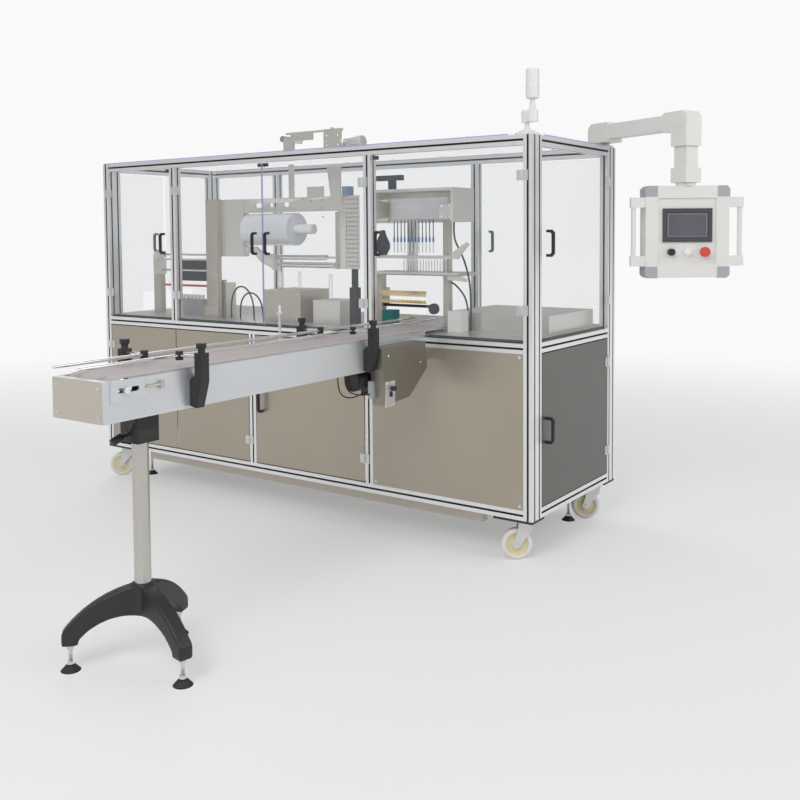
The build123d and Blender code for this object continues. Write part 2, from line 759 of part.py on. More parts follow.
conveyor_bottom = conveyor_top - conveyor_height
inside = (conveyor_left + side_plate, conveyor_right - side_plate)
belt_x = (inside[0] + belt_gap, inside[1] - belt_gap)
belt_top = conveyor_top + belt_proud
near_y = conveyor_near + near_pulley_inset
pulley_z = belt_top - belt_thickness - near_pulley_radius
nose_z = belt_top - belt_thickness - nose_pulley_radius
slot_y = (tension_span[0] + tension_span[1]) / 2
slot_cut = extrude(
    Plane(origin=(conveyor_left - 2 * tension_plate, slot_y, pulley_z), x_dir=(0, 1, 0), z_dir=(1, 0, 0))
    * SlotOverall(tension_slot, tension_slot_height), amount=conveyor_right - conveyor_left + 4 * tension_plate)
for x, turn in ((conveyor_left, -1), (conveyor_right, 1)):
    wall = block(sorted((x, x - turn * side_plate)), (conveyor_near, 0), (conveyor_bottom, conveyor_top))
    put("conveyor_frame", wall - slot_cut)
    outer = x + turn * tension_plate
    tension = block(sorted((x, outer)), tension_span, (tension_bottom, conveyor_top))
    put("conveyor_frame", tension - slot_cut)
    lug = block(
        sorted((x, x + turn * tension_lug)), (tension_bolt_end - tension_lug, tension_bolt_end),
        (pulley_z - tension_lug, pulley_z + tension_lug))
    bolt_x = x + turn * tension_lug / 2
    put("conveyor_frame", lug + rod(
        (bolt_x, tension_span[1], pulley_z), (bolt_x, tension_bolt_end, pulley_z), tension_bolt_radius))
put("conveyor_frame", block(inside, (conveyor_near, conveyor_near + side_plate), (conveyor_bottom, conveyor_top)))
put("conveyor_frame", block(inside, (conveyor_near + side_plate, conveyor_near + end_cap_depth),
    (conveyor_top - side_plate, conveyor_top)))


def loop_face(shrink):
    big, small = near_pulley_radius + belt_thickness - shrink, nose_pulley_radius + belt_thickness - shrink
    length = tail_pulley_station - near_y
    deep = Pos((near_y + tail_pulley_station) / 2, pulley_z) * Rectangle(length, 2 * big)
    deep += Pos(near_y, pulley_z) * Circle(big) + Pos(tail_pulley_station, pulley_z) * Circle(big)
    reach = nose_reach - tail_pulley_station
    shallow = Pos((tail_pulley_station + nose_reach) / 2, nose_z) * Rectangle(reach, 2 * small)
    return deep + shallow + Pos(nose_reach, nose_z) * Circle(small)


belt_plane = Plane(origin=(belt_x[0], 0, 0), x_dir=(0, 1, 0), z_dir=(1, 0, 0))
belt_width = belt_x[1] - belt_x[0]
put("conveyor_belt", extrude(belt_plane * (loop_face(0) - loop_face(belt_thickness)), amount=belt_width))
bed_top = belt_top - belt_thickness
bed_span = (near_y + nose_clearance, nose_reach - nose_pulley_radius - belt_thickness)
put("conveyor_frame", block(belt_x, bed_span, (bed_top - bed_thickness, bed_top)))
stand_seat = (stand_y - clamp_width / 2 - clamp_flange, stand_y + clamp_width / 2 + clamp_flange)
for span in (stand_seat, lead_clip, (gearbox_near, gearbox_far)):
    put("conveyor_frame", block(inside, span, (conveyor_bottom, conveyor_bottom + side_plate)))
near_axle = rod(
    (conveyor_left - tension_plate, near_y, pulley_z), (conveyor_right + tension_plate, near_y, pulley_z), axle_radius)
for x in (conveyor_left - tension_plate - axle_nut, conveyor_right + tension_plate):
    nut_plane = Plane(origin=(x, near_y, pulley_z), x_dir=(0, 1, 0), z_dir=(1, 0, 0))
    near_axle += extrude(nut_plane * RegularPolygon(axle_nut, 6), amount=axle_nut)
pulley = rod((belt_x[0], near_y, pulley_z), (belt_x[1], near_y, pulley_z), near_pulley_radius)
put("conveyor_frame", near_axle + pulley)
tail = rod((inside[0], tail_pulley_station, pulley_z), (inside[1], tail_pulley_station, pulley_z), axle_radius)
tail += rod((belt_x[0], tail_pulley_station, pulley_z), (belt_x[1], tail_pulley_station, pulley_z), near_pulley_radius)
put("conveyor_frame", tail)
put("conveyor_frame", rod((belt_x[0], nose_reach, nose_z), (belt_x[1], nose_reach, nose_z), nose_pulley_radius))

# Guide rods, their round clamps and the hooked brackets with star knobs
rod_radius = rod_diameter / 2
for offset in rod_offsets:
    x = conveyor_left + offset
    put("guide_rods", rod((x, rod_near, rod_height), (x, rod_far, rod_height), rod_radius))
star = Circle(knob_diameter / 2 - knob_lobe / 2)
for lobe in range(knob_lobes):
    star += Rot(0, 0, 360 * lobe / knob_lobes) * Pos(knob_diameter / 2 - knob_lobe, 0) * Circle(knob_lobe)


def guide_bracket(y, side_x, turn, rod_x):
    outer, inner = side_x + turn * bracket_reach, side_x + turn * (bracket_reach - bracket_arm)
    outline = (
        (side_x, bracket_bottom + knob_lobe), (side_x + turn * bracket_foot, bracket_bottom),
        (outer, bracket_bottom + bracket_knee), (outer, bracket_top), (inner, bracket_top),
        (inner, bracket_bottom + bracket_knee + bracket_arm * 0.7), (side_x, bracket_bottom + bracket_seat_height),
    )
    bracket = plate_along_y(outline, (y - bracket_width / 2, y + bracket_width / 2))
    centre_x = (outer + inner) / 2
    bracket += rod((centre_x, y, bracket_top), (centre_x, y, bracket_top + knob_lift), knob_stem)
    put("guide_brackets", bracket)
    put("guide_brackets", Pos(centre_x, y, bracket_top + knob_lift) * extrude(star, amount=knob_height))
    low = rod_height - clamp_length / 2
    clamp = rod((rod_x, y, low), (rod_x, y, low + clamp_length), clamp_radius)
    clamp -= rod((rod_x, rod_near, rod_height), (rod_x, rod_far, rod_height), rod_radius)
    start = rod_x + turn * (clamp_radius - cross_arm_radius / 2)
    cross_arm = rod((start, y, rod_height), (inner, y, rod_height), cross_arm_radius)
    put("guide_brackets", clamp)
    put("guide_rods", cross_arm - rod((rod_x, y, low), (rod_x, y, low + clamp_length), clamp_radius))


for y in left_brackets:
    guide_bracket(y, conveyor_left, -1, conveyor_left + rod_offsets[0])
for y in right_brackets:
    guide_bracket(y, conveyor_right, 1, conveyor_left + rod_offsets[1])

# Sensor post on the far side plate
sensor_x = conveyor_left - sensor_foot[0] / 2
sensor = block(
    (conveyor_left - sensor_foot[0], conveyor_left), (sensor_y - sensor_foot[0] / 2, sensor_y + sensor_foot[0] / 2),
    (conveyor_top - sensor_foot[1], conveyor_top))
sensor += rod((sensor_x, sensor_y, conveyor_top), (sensor_x, sensor_y, sensor_top), sensor_radius)
sensor += rod((sensor_x, sensor_y, sensor_ring_height - sensor_ring), (sensor_x, sensor_y, sensor_ring_height), sensor_ring)
put("guide_brackets", sensor)

# Drive box with its slanted corner, switch plate and junction box
box_x = (conveyor_right, conveyor_right + drive_box_thickness)
box_plane = Plane(origin=(box_x[0], 0, 0), x_dir=(0, 1, 0), z_dir=(1, 0, 0))
drive_body = extrude(box_plane * make_face(Polyline(*drive_box_outline, close=True)), amount=drive_box_thickness)
put("drive_box", drive_body)
plate_face = box_x[1] + switch_plate
put("drive_box", block((box_x[1], plate_face), switch_plate_span, switch_plate_height))
put("drive_box", rod((plate_face, *switch_knob), (plate_face + switch_knob_reach, *switch_knob), switch_knob_radius))
put("drive_box", block(
    (plate_face, plate_face + rocker_reach), (rocker[0] - rocker_size[0] / 2, rocker[0] + rocker_size[0] / 2),
    (rocker[1] - rocker_size[1] / 2, rocker[1] + rocker_size[1] / 2)))
junction = block((box_x[0], box_x[0] + junction_width), (junction_near, switch_plate_span[0]), junction_height)
put("drive_box", junction - drive_body)

# Gear motor under the belt, with its two leads
motor_z = conveyor_bottom - motor_radius
motor = rod((motor_x, motor_near, motor_z), (motor_x, gearbox_near, motor_z), motor_radius)
motor += rod((motor_x, motor_near - motor_cover, motor_z), (motor_x, motor_near, motor_z), motor_radius - motor_cover)
motor += block((gearbox_left, conveyor_right), (gearbox_near, gearbox_far), (gearbox_bottom, conveyor_bottom))
put("drive_motor", motor)


def lead(name, points):
    points = [Vector(*point) for point in points]
    runs = [b - a for a, b in zip(points, points[1:])]
    radii = [
        0.45 * min(a.length, b.length) / tan(radians(a.get_angle(b)) / 2) for a, b in zip(runs, runs[1:])
    ]
    route = FilletPolyline(*points, radius=radii)
    tube = sweep(Plane(origin=points[0], z_dir=runs[0]) * Circle(lead_radius), path=route)
    put(name, tube)
    print(name, "radii", [round(radius, 1) for radius in radii], "length", round(route.length, 1),
        "volume ratio", round(tube.volume / (pi * lead_radius ** 2 * route.length), 4))


lead("motor_lead_1", lead_1)
lead("motor_lead_2", lead_2)

# Stand: collar with its lever, tube, hub with three curved legs and feet
collar_low = conveyor_bottom - clamp_height
put("stand_tube", rod((stand_x, stand_y, tube_bottom), (stand_x, stand_y, collar_low), tube_diameter / 2))
half = clamp_width / 2
collar = block((stand_x - half, stand_x + half), (stand_y - half, stand_y + half), (conveyor_bottom - clamp_flange, conveyor_bottom))
narrow = half - clamp_flange / 2
collar += block(
    (stand_x - narrow, stand_x + narrow), (stand_y - narrow, stand_y + narrow), (collar_low, conveyor_bottom - clamp_flange))
lever_z = collar_low + clamp_flange * 2
collar += rod((stand_x, stand_y - narrow - clamp_lever / 2, lever_z), (stand_x, stand_y, lever_z), clamp_flange / 2)
collar += rod(
    (stand_x, stand_y - narrow - clamp_lever / 2, lever_z), (stand_x, stand_y - narrow - clamp_lever, lever_z - clamp_flange),
    clamp_flange)
put("stand_castings", collar)
hub = rod((stand_x, stand_y, hub_bottom), (stand_x, stand_y, hub_top), hub_diameter / 2)
hub -= rod((stand_x, stand_y, tube_bottom), (stand_x, stand_y, hub_top), tube_diameter / 2)
stand_feet = []
leg_start = hub_diameter / 2 - side_plate
for angle in leg_angles:
    at = Location((stand_x, stand_y, 0), (0, 0, angle))
    tip, heel = leg_reach + leg_heel, leg_reach - leg_heel
    outer = ThreePointArc((leg_start, hub_top - 8), (leg_reach * 0.68, 200), (tip, leg_end_height + 40))
    lower = ThreePointArc((heel, leg_end_height + 14), (leg_reach * 0.6, 138), (leg_start, hub_bottom))
    outline = outer + Line(outer @ 1, (tip, leg_end_height)) + Line((tip, leg_end_height), (heel, leg_end_height))
    outline = outline + Line((heel, leg_end_height), (heel, leg_end_height + 14)) + lower + Line(lower @ 1, outer @ 0)
    plane = Plane(origin=(0, leg_width / 2, 0), x_dir=(1, 0, 0), z_dir=(0, -1, 0))
    leg = extrude(plane * make_face(outline), amount=leg_width)
    leg -= rod((0, 0, hub_bottom), (0, 0, hub_top), hub_diameter / 2)
    put("stand_castings", at * leg)
    foot = at * Pos(leg_reach, 0, 0)
    x, y = foot.position.X, foot.position.Y
    stand_feet.append((x, y))
    levelling_foot(x, y, leg_end_height)
put("stand_castings", hub)

# Signal lamp on the near corner
foot_x_place, foot_y_place = lamp_x + lamp_foot_shift[0], lamp_y + lamp_foot_shift[1]
lamp_low = 0
for radius, height in lamp_foot_steps:
    step = rod((foot_x_place, foot_y_place, frame_top + lamp_low), (foot_x_place, foot_y_place, frame_top + height), radius)
    lamp = step if lamp_low == 0 else lamp + step
    lamp_low = height
knuckle_low, knuckle_high = (frame_top + height for height in lamp_knuckle)
for x, y in ((foot_x_place, foot_y_place), (lamp_x, lamp_y)):
    lamp += rod((x, y, knuckle_low), (x, y, knuckle_high), lamp_knuckle_radius)
lamp += rod(
    (foot_x_place, foot_y_place, (knuckle_low + knuckle_high) / 2), (lamp_x, lamp_y, (knuckle_low + knuckle_high) / 2),
    lamp_knuckle_radius)
pole_low = knuckle_high
for radius, height in lamp_pole:
    lamp += rod((lamp_x, lamp_y, pole_low), (lamp_x, lamp_y, frame_top + height), radius)
    pole_low = frame_top + height
put("signal_lamp", lamp)
put("signal_lamp", turned(lamp_x, lamp_y, (
    (0, pole_low), (lamp_radius - lamp_ring, pole_low), (lamp_radius, pole_low + lamp_ring),
    (lamp_radius + 1, pole_low + lamp_height / 2), (lamp_radius, pole_low + lamp_height / 2 + lamp_ring),
    (lamp_radius, pole_low + lamp_height), (0, pole_low + lamp_height),
)))

# Swinging arm: flange and pivot, bevelled elbows, tube, collars
arm_low, arm_high = arm_axis_height - arm_tube_height / 2, arm_axis_height + arm_tube_height / 2
base = block(
    (arm_x - arm_foot / 2, arm_x + arm_foot / 2), (arm_y - arm_foot / 2, arm_y + arm_foot / 2),
    (frame_top, frame_top + arm_flange))
base += rod((arm_x, arm_y, frame_top), (arm_x, arm_y, frame_top + arm_base_height), arm_foot / 2 - 4)
base += rod((arm_x, arm_y, frame_top), (arm_x, arm_y, arm_low), pivot_radius)
put("arm_base", base)
arm_at = Location((arm_x, arm_y, arm_axis_height), (0, 0, arm_angle))
half_h, half_w, half_e = arm_tube_height / 2, arm_tube_width / 2, elbow_width / 2
elbow_low = frame_top + arm_base_height + pivot_clearance - arm_axis_height
elbow_high = half_h + elbow_rise


def elbow(corner_x, sleeve_x, low):
    turn = 1 if sleeve_x > corner_x else -1
    outline = (
        (corner_x, low), (corner_x, elbow_high - elbow_bevel), (corner_x + turn * elbow_bevel, elbow_high),
        (sleeve_x - turn * sleeve_bevel, elbow_high), (sleeve_x, elbow_high - sleeve_bevel), (sleeve_x, low),
    )
    return plate_along_y(outline, (-half_e, half_e))


swing = elbow(-half_e, elbow_sleeve, elbow_low)
swing -= rod((0, 0, elbow_low), (0, 0, -half_h + pivot_clearance), pivot_radius + pivot_clearance)
far_sleeve = arm_length - elbow_sleeve
swing += block((elbow_sleeve, far_sleeve), (-half_w, half_w), (-half_h, half_h))
swing += elbow(arm_length + half_e, far_sleeve, -elbow_high)
swing += rod((arm_length, -half_e - cap_thickness, 0), (arm_length, -half_e, 0), cap_radius)
drop_top = -elbow_high
drop_low = panel_top + neck_height - arm_axis_height
swing += block((arm_length - half_e, arm_length + half_e), (-half_e, half_e), (drop_top - collar_height, drop_top))
swing += block((arm_length - half_w, arm_length + half_w), (-half_h, half_h), (drop_low, drop_top - collar_height))
swing += block((arm_length - half_e, arm_length + half_e), (-half_e, half_e), (drop_low, drop_low + collar_height))
put("arm_tubes", arm_at * swing)

# Control panel: bevelled corner pieces, recessed face with screen and buttons, two grips
panel_at = arm_at * Pos(arm_length, 0, 0)
panel_x, panel_y = panel_at.position.X, panel_at.position.Y
face = Location((panel_x, panel_y, panel_top - panel_height), (0, 0, panel_angle))
body_half = panel_width / 2
panel_back = panel_front + panel_depth
body = block((-body_half, body_half), (panel_front, panel_back), (0, panel_height))
face_front = panel_front + panel_recess
body -= block(
    (-body_half + face_side, body_half - face_side), (panel_front, face_front), (face_band, panel_height - face_band))
corner_across, corner_up = panel_corner
for turn in (-1, 1):
    for low in (True, False):
        edge = turn * (body_half + panel_corner_proud)
        x = sorted((edge, turn * (body_half - corner_across)))
        z_edge = -panel_corner_proud if low else panel_height
        z_inner = corner_up if low else panel_height - corner_up
        y = (panel_front - panel_corner_proud, panel_back)
        body -= block(x, y, sorted((z_edge, z_inner)))
        bevel_z = panel_bevel if low else -panel_bevel
        outline = (
            (turn * (body_half - corner_across), z_edge), (edge - turn * panel_bevel, z_edge), (edge, z_edge + bevel_z),
            (edge, z_inner), (turn * (body_half - corner_across), z_inner),
        )
        put("control_panel", face * plate_along_y(outline, y))
neck = Pos(0, 0, panel_height) * extrude(Circle(neck_radius), amount=neck_height - neck_gap)
put("control_panel", face * (body + neck))
grip_y = panel_front + grip_depth / 2 + side_plate
for turn in (-1, 1):
    z_low, z_high = grip_inset, panel_height - grip_inset
    bar_x = turn * (body_half + grip_reach - 12)
    grip = rod((bar_x, grip_y, z_low + grip_arm), (bar_x, grip_y, z_high - grip_arm), grip_bar)
    for z in ((z_low, z_low + grip_arm), (z_high - grip_arm, z_high)):
        grip += block(
            sorted((turn * body_half, turn * (body_half + grip_reach))),
            (grip_y - grip_depth / 2, grip_y + grip_depth / 2), z)
    put("panel_grips", face * grip)
bezel_z = (panel_height - bezel_top - bezel_size[1], panel_height - bezel_top)
bezel_y = (face_front - bezel_thickness, face_front)
display_x = (-display_size[0] / 2, display_size[0] / 2)
display_z = (bezel_z[1] - display_drop - display_size[1], bezel_z[1] - display_drop)
display_y = (bezel_y[0] + bezel_thickness / 3, face_front)
bezel = block((-bezel_size[0] / 2, bezel_size[0] / 2), bezel_y, bezel_z) - block(display_x, bezel_y, display_z)
put("panel_face", face * bezel)
put("panel_face", face * block(display_x, display_y, display_z))
for u, radius, reach in buttons:
    put("panel_face", face * rod((u, face_front, button_height), (u, face_front - reach, button_height), radius))
stop_u, stop_reach = buttons[-1][0], buttons[-1][2]
put("panel_face", face * rod(
    (stop_u, face_front - stop_reach, button_height), (stop_u, face_front - stop_reach - mushroom_reach, button_height),
    mushroom_radius))

# Film unit over the table: column, housing, slotted beam, shaft with chuck, rollers and perforated plate
put("film_frame", block(film_column_x, film_column_y, (table_top, film_column_top)))
widen, foot_height = film_column_foot
put("film_frame", block(
    (film_column_x[0] - widen, film_column_x[1] + widen), (film_column_y[0] - widen, film_column_y[0]),
    (table_top, table_top + foot_height)))
put("film_frame", block(housing_x, housing_y, housing_z))
put("film_frame", block(housing_bracket, (film_column_y[1], housing_y[0]), housing_z))
beam = block((housing_x[1], film_beam_end), beam_plate_y, beam_plate_z)
beam_plane = Plane(origin=(0, beam_plate_y[1], 0), x_dir=(1, 0, 0), z_dir=(0, -1, 0))
beam_depth = beam_plate_y[1] - beam_plate_y[0]
for x in beam_slots:
    beam -= extrude(beam_plane * Pos(x, beam_slot_height) * SlotOverall(*beam_slot_size), amount=beam_depth)
for x, z in beam_holes:
    beam -= extrude(beam_plane * Pos(x, z) * Circle(beam_hole_radius), amount=beam_depth)
put("film_frame", beam)
roll_y, roll_z = roll_axis_y, roll_axis_z
shaft = rod((housing_x[1], roll_y, roll_z), (shaft_end, roll_y, roll_z), shaft_radius)
shaft += rod((housing_x[1], roll_y, roll_z), (housing_x[1] + chuck_thickness, roll_y, roll_z), chuck_radius)
put("film_frame", shaft)
film_roll = rod((roll_span[0], roll_y, roll_z), (roll_span[1], roll_y, roll_z), roll_radius)
film_roll -= rod((roll_span[0], roll_y, roll_z), (roll_span[1], roll_y, roll_z), shaft_radius + roll_bore_clearance)
put("film_roll", film_roll)
arm_plate = plate_along_y(roller_arm, beam_plate_y)
lug_y = (beam_plate_y[0] - roller_2[2], beam_plate_y[1] + roller_2[2])
put("film_frame", arm_plate + block(roller_lug_x, lug_y, roller_lug_z))
for (start, end), height, radius in (roller_1, roller_2):
    roller = rod((start, roll_y, height), (end, roll_y, height), radius)
    roller += rod((roller_lug_x[1], roll_y, height), (perforated_x[0], roll_y, height), roller_shaft_radius)
    put("film_frame", roller)
perforated = block(perforated_x, (beam_plate_y[1], beam_plate_y[1] + perforated_thickness), perforated_z)
hole_plane = Plane(origin=(0, beam_plate_y[1] + perforated_thickness, 0), x_dir=(1, 0, 0), z_dir=(0, -1, 0))
holes = [
    Pos(hole_first[0] + hole_pitch[0] * column, hole_first[1] + hole_pitch[1] * row) * RegularPolygon(hole_radius, 6)
    for column in range(hole_columns) for row in range(hole_rows)
]
perforated -= [extrude(hole_plane * hole, amount=perforated_thickness) for hole in holes]
flange_x = (perforated_x[0], perforated_x[0] + perforated_thickness)
flange_top = beam_plate_z[0] - roller_shaft_radius
perforated += block(flange_x, (perforated_flange_y, beam_plate_y[1] + perforated_thickness), (perforated_z[0], flange_top))
put("film_frame", perforated)
put("film_frame", plate_along_y(trapezoid, (beam_plate_y[0] - trapezoid_thickness, beam_plate_y[0])))
for x, z in (pale_plate, hanger_plate):
    put("film_frame", block(x, (beam_plate_y[1], beam_plate_y[1] + rear_plate_thickness), z))
put("film_frame", block(beam_block_x, beam_block_y, beam_block_z))
put("film_frame", block(actuator_x, actuator_y, (table_top, actuator_body_top)))
put("film_frame", block(actuator_piston, actuator_y, (actuator_body_top, perforated_z[0])))

# Boxes, rails and pins on the table
put("table_boxes", block(
    (frame_length - long_box_far, frame_length - long_box_near), (long_box_front, frame_depth - long_box_rear),
    (table_top, table_top + long_box_height)))
for x, top in ((rail_post_x, rail_post_top), (far_post_x, rail_end_z[0])):
    put("table_boxes", block(x, rail_post_y, (table_top, top)))
far_end_y = (rail_end_y[0], rail_post_y[1])
put("table_boxes", block(far_post_x, far_end_y, rail_end_z))
near_end = block((rail_post_x[1], rail_post_x[1] + red_bar_size), far_end_y, rail_end_z)
put("table_boxes", near_end)
for y, z in bay_rails:
    put("table_boxes", rod((rail_post_x[1] + red_bar_size, y, z), (far_post_x[0], y, z), bay_rail_radius))
put("table_boxes", block(
    (red_bar_left, far_post_x[1]), (rail_post_y[1], rail_post_y[1] + red_bar_size),
    (red_bar_height, red_bar_height + red_bar_size)))
valve_x, valve_y, valve_z = valve_block
put("table_boxes", block(valve_x, (bay_rails[2][0] + bay_rail_radius, valve_y[1]), valve_z))
manifold_x, manifold_y, manifold_top = manifold
put("table_boxes", block(manifold_x, manifold_y, (table_top, manifold_top)))
valve_step = (manifold_x[1] - manifold_x[0]) / valve_count
for number in range(valve_count):
    x, y = manifold_x[0] + valve_step * (number + 0.5), (manifold_y[0] + manifold_y[1]) / 2
    put("table_boxes", rod((x, y, manifold_top), (x, y, manifold_top + valve_height), valve_radius))
for x, y, top in (regulator, low_box, side_box):
    put("table_boxes", block(x, y, (table_top, top)))
cap_x, cap_y = (regulator[0][0] + regulator[0][1]) / 2, (regulator[1][0] + regulator[1][1]) / 2
put("table_boxes", rod((cap_x, cap_y, regulator[2]), (cap_x, cap_y, regulator[2] + regulator_cap[1]), regulator_cap[0]))
for x, width, low, high in staples:
    bend = staple_bar
    outline = (
        (x, low), (x, high - bend), (x + bend, high), (x + width - bend, high), (x + width, high - bend),
        (x + width, low), (x + width - bend, low), (x + width - bend, high - 2 * bend), (x + bend, high - 2 * bend),
        (x + bend, low),
    )
    put("table_boxes", plate_along_y(outline, (staple_y, staple_y + staple_bar)))

# Folding unit: posts, carrier, head with its rods, rows of pins and the brass combs
carrier = block(carrier_x, (comb_bar_y[1], fold_mid_post_y[1]), carrier_z)
carrier -= block(fold_right_post, fold_post_y, carrier_z)
put("folding_frame", carrier)
put("folding_frame", block(fold_left_post, fold_post_y, (table_top, carrier_z[0])))
put("folding_frame", block(fold_right_post, fold_post_y, (table_top, head_z[0])))
put("folding_frame", block(fold_mid_post, fold_mid_post_y, (carrier_z[1], head_z[0])))
head = block(head_x, (head_y[1] - head_plate, head_y[1]), head_z)
head += block(head_x, head_y, (head_z[1] - head_plate, head_z[1]))
head += block((fold_right_post[0], head_x[1]), (fold_post_y[0], head_y[1]), (head_z[0], head_z[0] + head_plate))
for x in ((head_x[0], head_x[0] + head_plate), (head_x[1] - head_plate, head_x[1])):
    head += block(x, head_y, head_z)
put("folding_frame", head)
put("folding_frame", block(head_window_x, (head_y[0], head_y[0] + head_plate / 2), head_window_z))
for y, z in head_rods:
    put("folding_frame", rod((head_x[0] + head_plate, y, z), (head_x[1] - head_plate, y, z), head_rod_radius))
put("folding_frame", block(*top_bar))
put("folding_frame", block(top_bar_foot, top_bar[1], (head_z[1], top_bar[2][0])))
bar_left, bar_right, bar_low, bar_high = comb_top_bar
put("folding_frame", block((bar_left, bar_right), comb_bar_y, (bar_low, bar_high)))
put("folding_frame", block((bar_left, bar_right), comb_bar_y, comb_low_bar))
pin_step = (pin_last - pin_first) / (pin_count - 1)
pin_y = (comb_bar_y[0] + comb_bar_y[1]) / 2
for number in range(pin_count):
    x = pin_first + pin_step * number
    put("folding_frame", rod((x, pin_y, comb_low_bar[1]), (x, pin_y, bar_low), pin_radius))
carrier_block_x, carrier_block_y, carrier_block_z = comb_carrier
put("folding_frame", block(carrier_block_x, carrier_block_y, carrier_block_z))
for tip, root, back in comb_rows:
    pitch = (comb_x[1] - comb_x[0]) / comb_teeth
    outline = [(comb_x[1], back), (comb_x[0], back)]
    for tooth in range(comb_teeth):
        x = comb_x[0] + pitch * tooth
        outline += [(x, tip), (x + pitch / 2, tip), (x + pitch / 2, root), (x + pitch, root)]
    put("folding_combs", plate_along_y(outline, comb_y))
disc_place, disc_y, disc_radius = fold_disc
fold_rod = rod(
    (carrier_block_x[1], fold_rod_y, fold_rod_height), (disc_place[0], fold_rod_y, fold_rod_height), fold_rod_radius)
fold_rod += rod((disc_place[0], disc_y[0], disc_place[1]), (disc_place[0], disc_y[1], disc_place[1]), disc_radius)
put("folding_frame", fold_rod)
put("folding_frame", turned(cylinder_x, pin_y, [(radius, bar_high + height) for radius, height in cylinder_outline]))
for x, y, top in (fold_motor, white_block):
    put("folding_frame", block(x, y, (table_top, top)))
for outline, y in ((lever_1, comb_bar_y[0]), (lever_2, comb_bar_y[1] + lever_thickness)):
    put("folding_frame", plate_along_y(outline, (y - lever_thickness, y)))

# Film mechanism on the roof
base_x, base_y, base_thickness = roof_base
base_top = roof_top + base_thickness
put("roof_unit", block(base_x, base_y, (roof_top, base_top)))
left_x, left_top = roof_left_plate
right_x, right_top = roof_right_plate
roller_x, roller_z, roller_radius = roof_roller
roof_front, roof_back = roof_plate_y
put("roof_unit", block(left_x, roof_plate_y, (base_top, left_top)))
roof_bracket = block((roller_x, left_x[1]), (roof_back, roof_back + base_thickness), (roller_z - roller_radius, left_top))
roof_bracket += rod((roller_x, roof_back, roller_z), (roller_x, roof_back + roof_roller_length, roller_z), roller_radius)
put("roof_unit", roof_bracket)
bar_x, bar_z = roof_bar
right_outline = (
    (right_x[0], base_top), (right_x[0], right_top), (roof_lug[0], right_top), ((roof_lug[0] + roof_lug[1]) / 2, roof_lug[2]),
    (roof_lug[1], right_top), (right_x[1], right_top), (right_x[1], base_top),
)
put("roof_unit", plate_along_y(right_outline, roof_plate_y))
put("roof_unit", block(bar_x, (roof_back + base_thickness, roof_back + 2 * base_thickness), bar_z))
link_x, link_z = roof_link
put("roof_unit", block(
    (left_x[1] - link_z[1] + link_z[0], link_x[1]), (roof_back + base_thickness, roof_back + 2 * base_thickness),
    (link_z[0], bar_z[0])))
put("roof_unit", block(
    (right_x[0], right_x[1]), (roof_back, roof_back + base_thickness), (bar_z[0] - base_thickness, bar_z[1])))
motor_x_span, roof_motor_z, roof_motor_radius = roof_motor
put("roof_unit", rod(
    (right_x[1], roof_motor_y, roof_motor_z), (motor_x_span[1], roof_motor_y, roof_motor_z), roof_motor_radius))
put("roof_unit", block(
    (right_x[1] - base_thickness, right_x[1]), (roof_back, roof_motor_y + roof_motor_radius), (base_top, roof_motor_z)))

# The origin is the centre of the whole on the floor
boxes = [solid.bounding_box() for solids in nodes.values() for solid in solids]
low_x, high_x = min(box.min.X for box in boxes), max(box.max.X for box in boxes)
low_y, high_y = min(box.min.Y for box in boxes), max(box.max.Y for box in boxes)
origin = Vector((low_x + high_x) / 2, (low_y + high_y) / 2, 0)
shift = Pos(-origin.X, -origin.Y, 0)

if __name__ == "__main__":
    os.makedirs("parts", exist_ok=True)
    for name, solids in nodes.items():
        pieces = [piece for solid in solids for piece in (shift * solid).solids()]
        export_step(Compound(pieces), f"parts/{name}.step")
    print(len(nodes), "nodes, origin", origin, "size", high_x - low_x, high_y - low_y)
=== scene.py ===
import json
from math import cos, radians, sin

import bmesh
import bpy
from mathutils import Matrix, Vector


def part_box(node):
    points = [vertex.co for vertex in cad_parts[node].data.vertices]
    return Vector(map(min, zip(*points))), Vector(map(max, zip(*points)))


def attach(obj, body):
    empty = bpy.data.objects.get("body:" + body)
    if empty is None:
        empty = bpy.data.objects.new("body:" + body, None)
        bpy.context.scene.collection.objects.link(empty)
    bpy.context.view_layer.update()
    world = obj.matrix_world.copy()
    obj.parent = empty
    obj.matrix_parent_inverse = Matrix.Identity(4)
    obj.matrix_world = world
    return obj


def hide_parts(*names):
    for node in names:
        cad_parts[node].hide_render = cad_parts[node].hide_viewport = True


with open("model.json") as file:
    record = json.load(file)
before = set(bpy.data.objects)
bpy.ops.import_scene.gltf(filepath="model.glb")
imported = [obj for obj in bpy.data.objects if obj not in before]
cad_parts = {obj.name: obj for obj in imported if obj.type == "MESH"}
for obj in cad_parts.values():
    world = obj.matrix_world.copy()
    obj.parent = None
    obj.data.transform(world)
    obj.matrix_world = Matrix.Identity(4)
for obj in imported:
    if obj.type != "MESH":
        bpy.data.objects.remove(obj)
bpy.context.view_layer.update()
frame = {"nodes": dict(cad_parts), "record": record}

nodes = frame["nodes"]
# The machine's own millimetres start at the lower left front corner of the profile frame
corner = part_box("posts")[0]
bodyOf = {node: body for body, names in frame["record"]["behaviour"]["bodies"].items() for node in names}


def place(x, y, z):
    return Vector((corner.x + x / 1000, corner.y + y / 1000, z / 1000))


def machineMm(point):
    return Vector(((point.x - corner.x) * 1000, (point.y - corner.y) * 1000, point.z * 1000))


def addObject(name, data):
    made = bpy.data.objects.new(name, data)
    bpy.context.scene.collection.objects.link(made)
    return made


def shownMesh(carrier):
    # a plain mesh of what the object shows, with its modifiers applied
    bpy.context.view_layer.update()
    return bpy.data.meshes.new_from_object(carrier.evaluated_get(bpy.context.evaluated_depsgraph_get()))


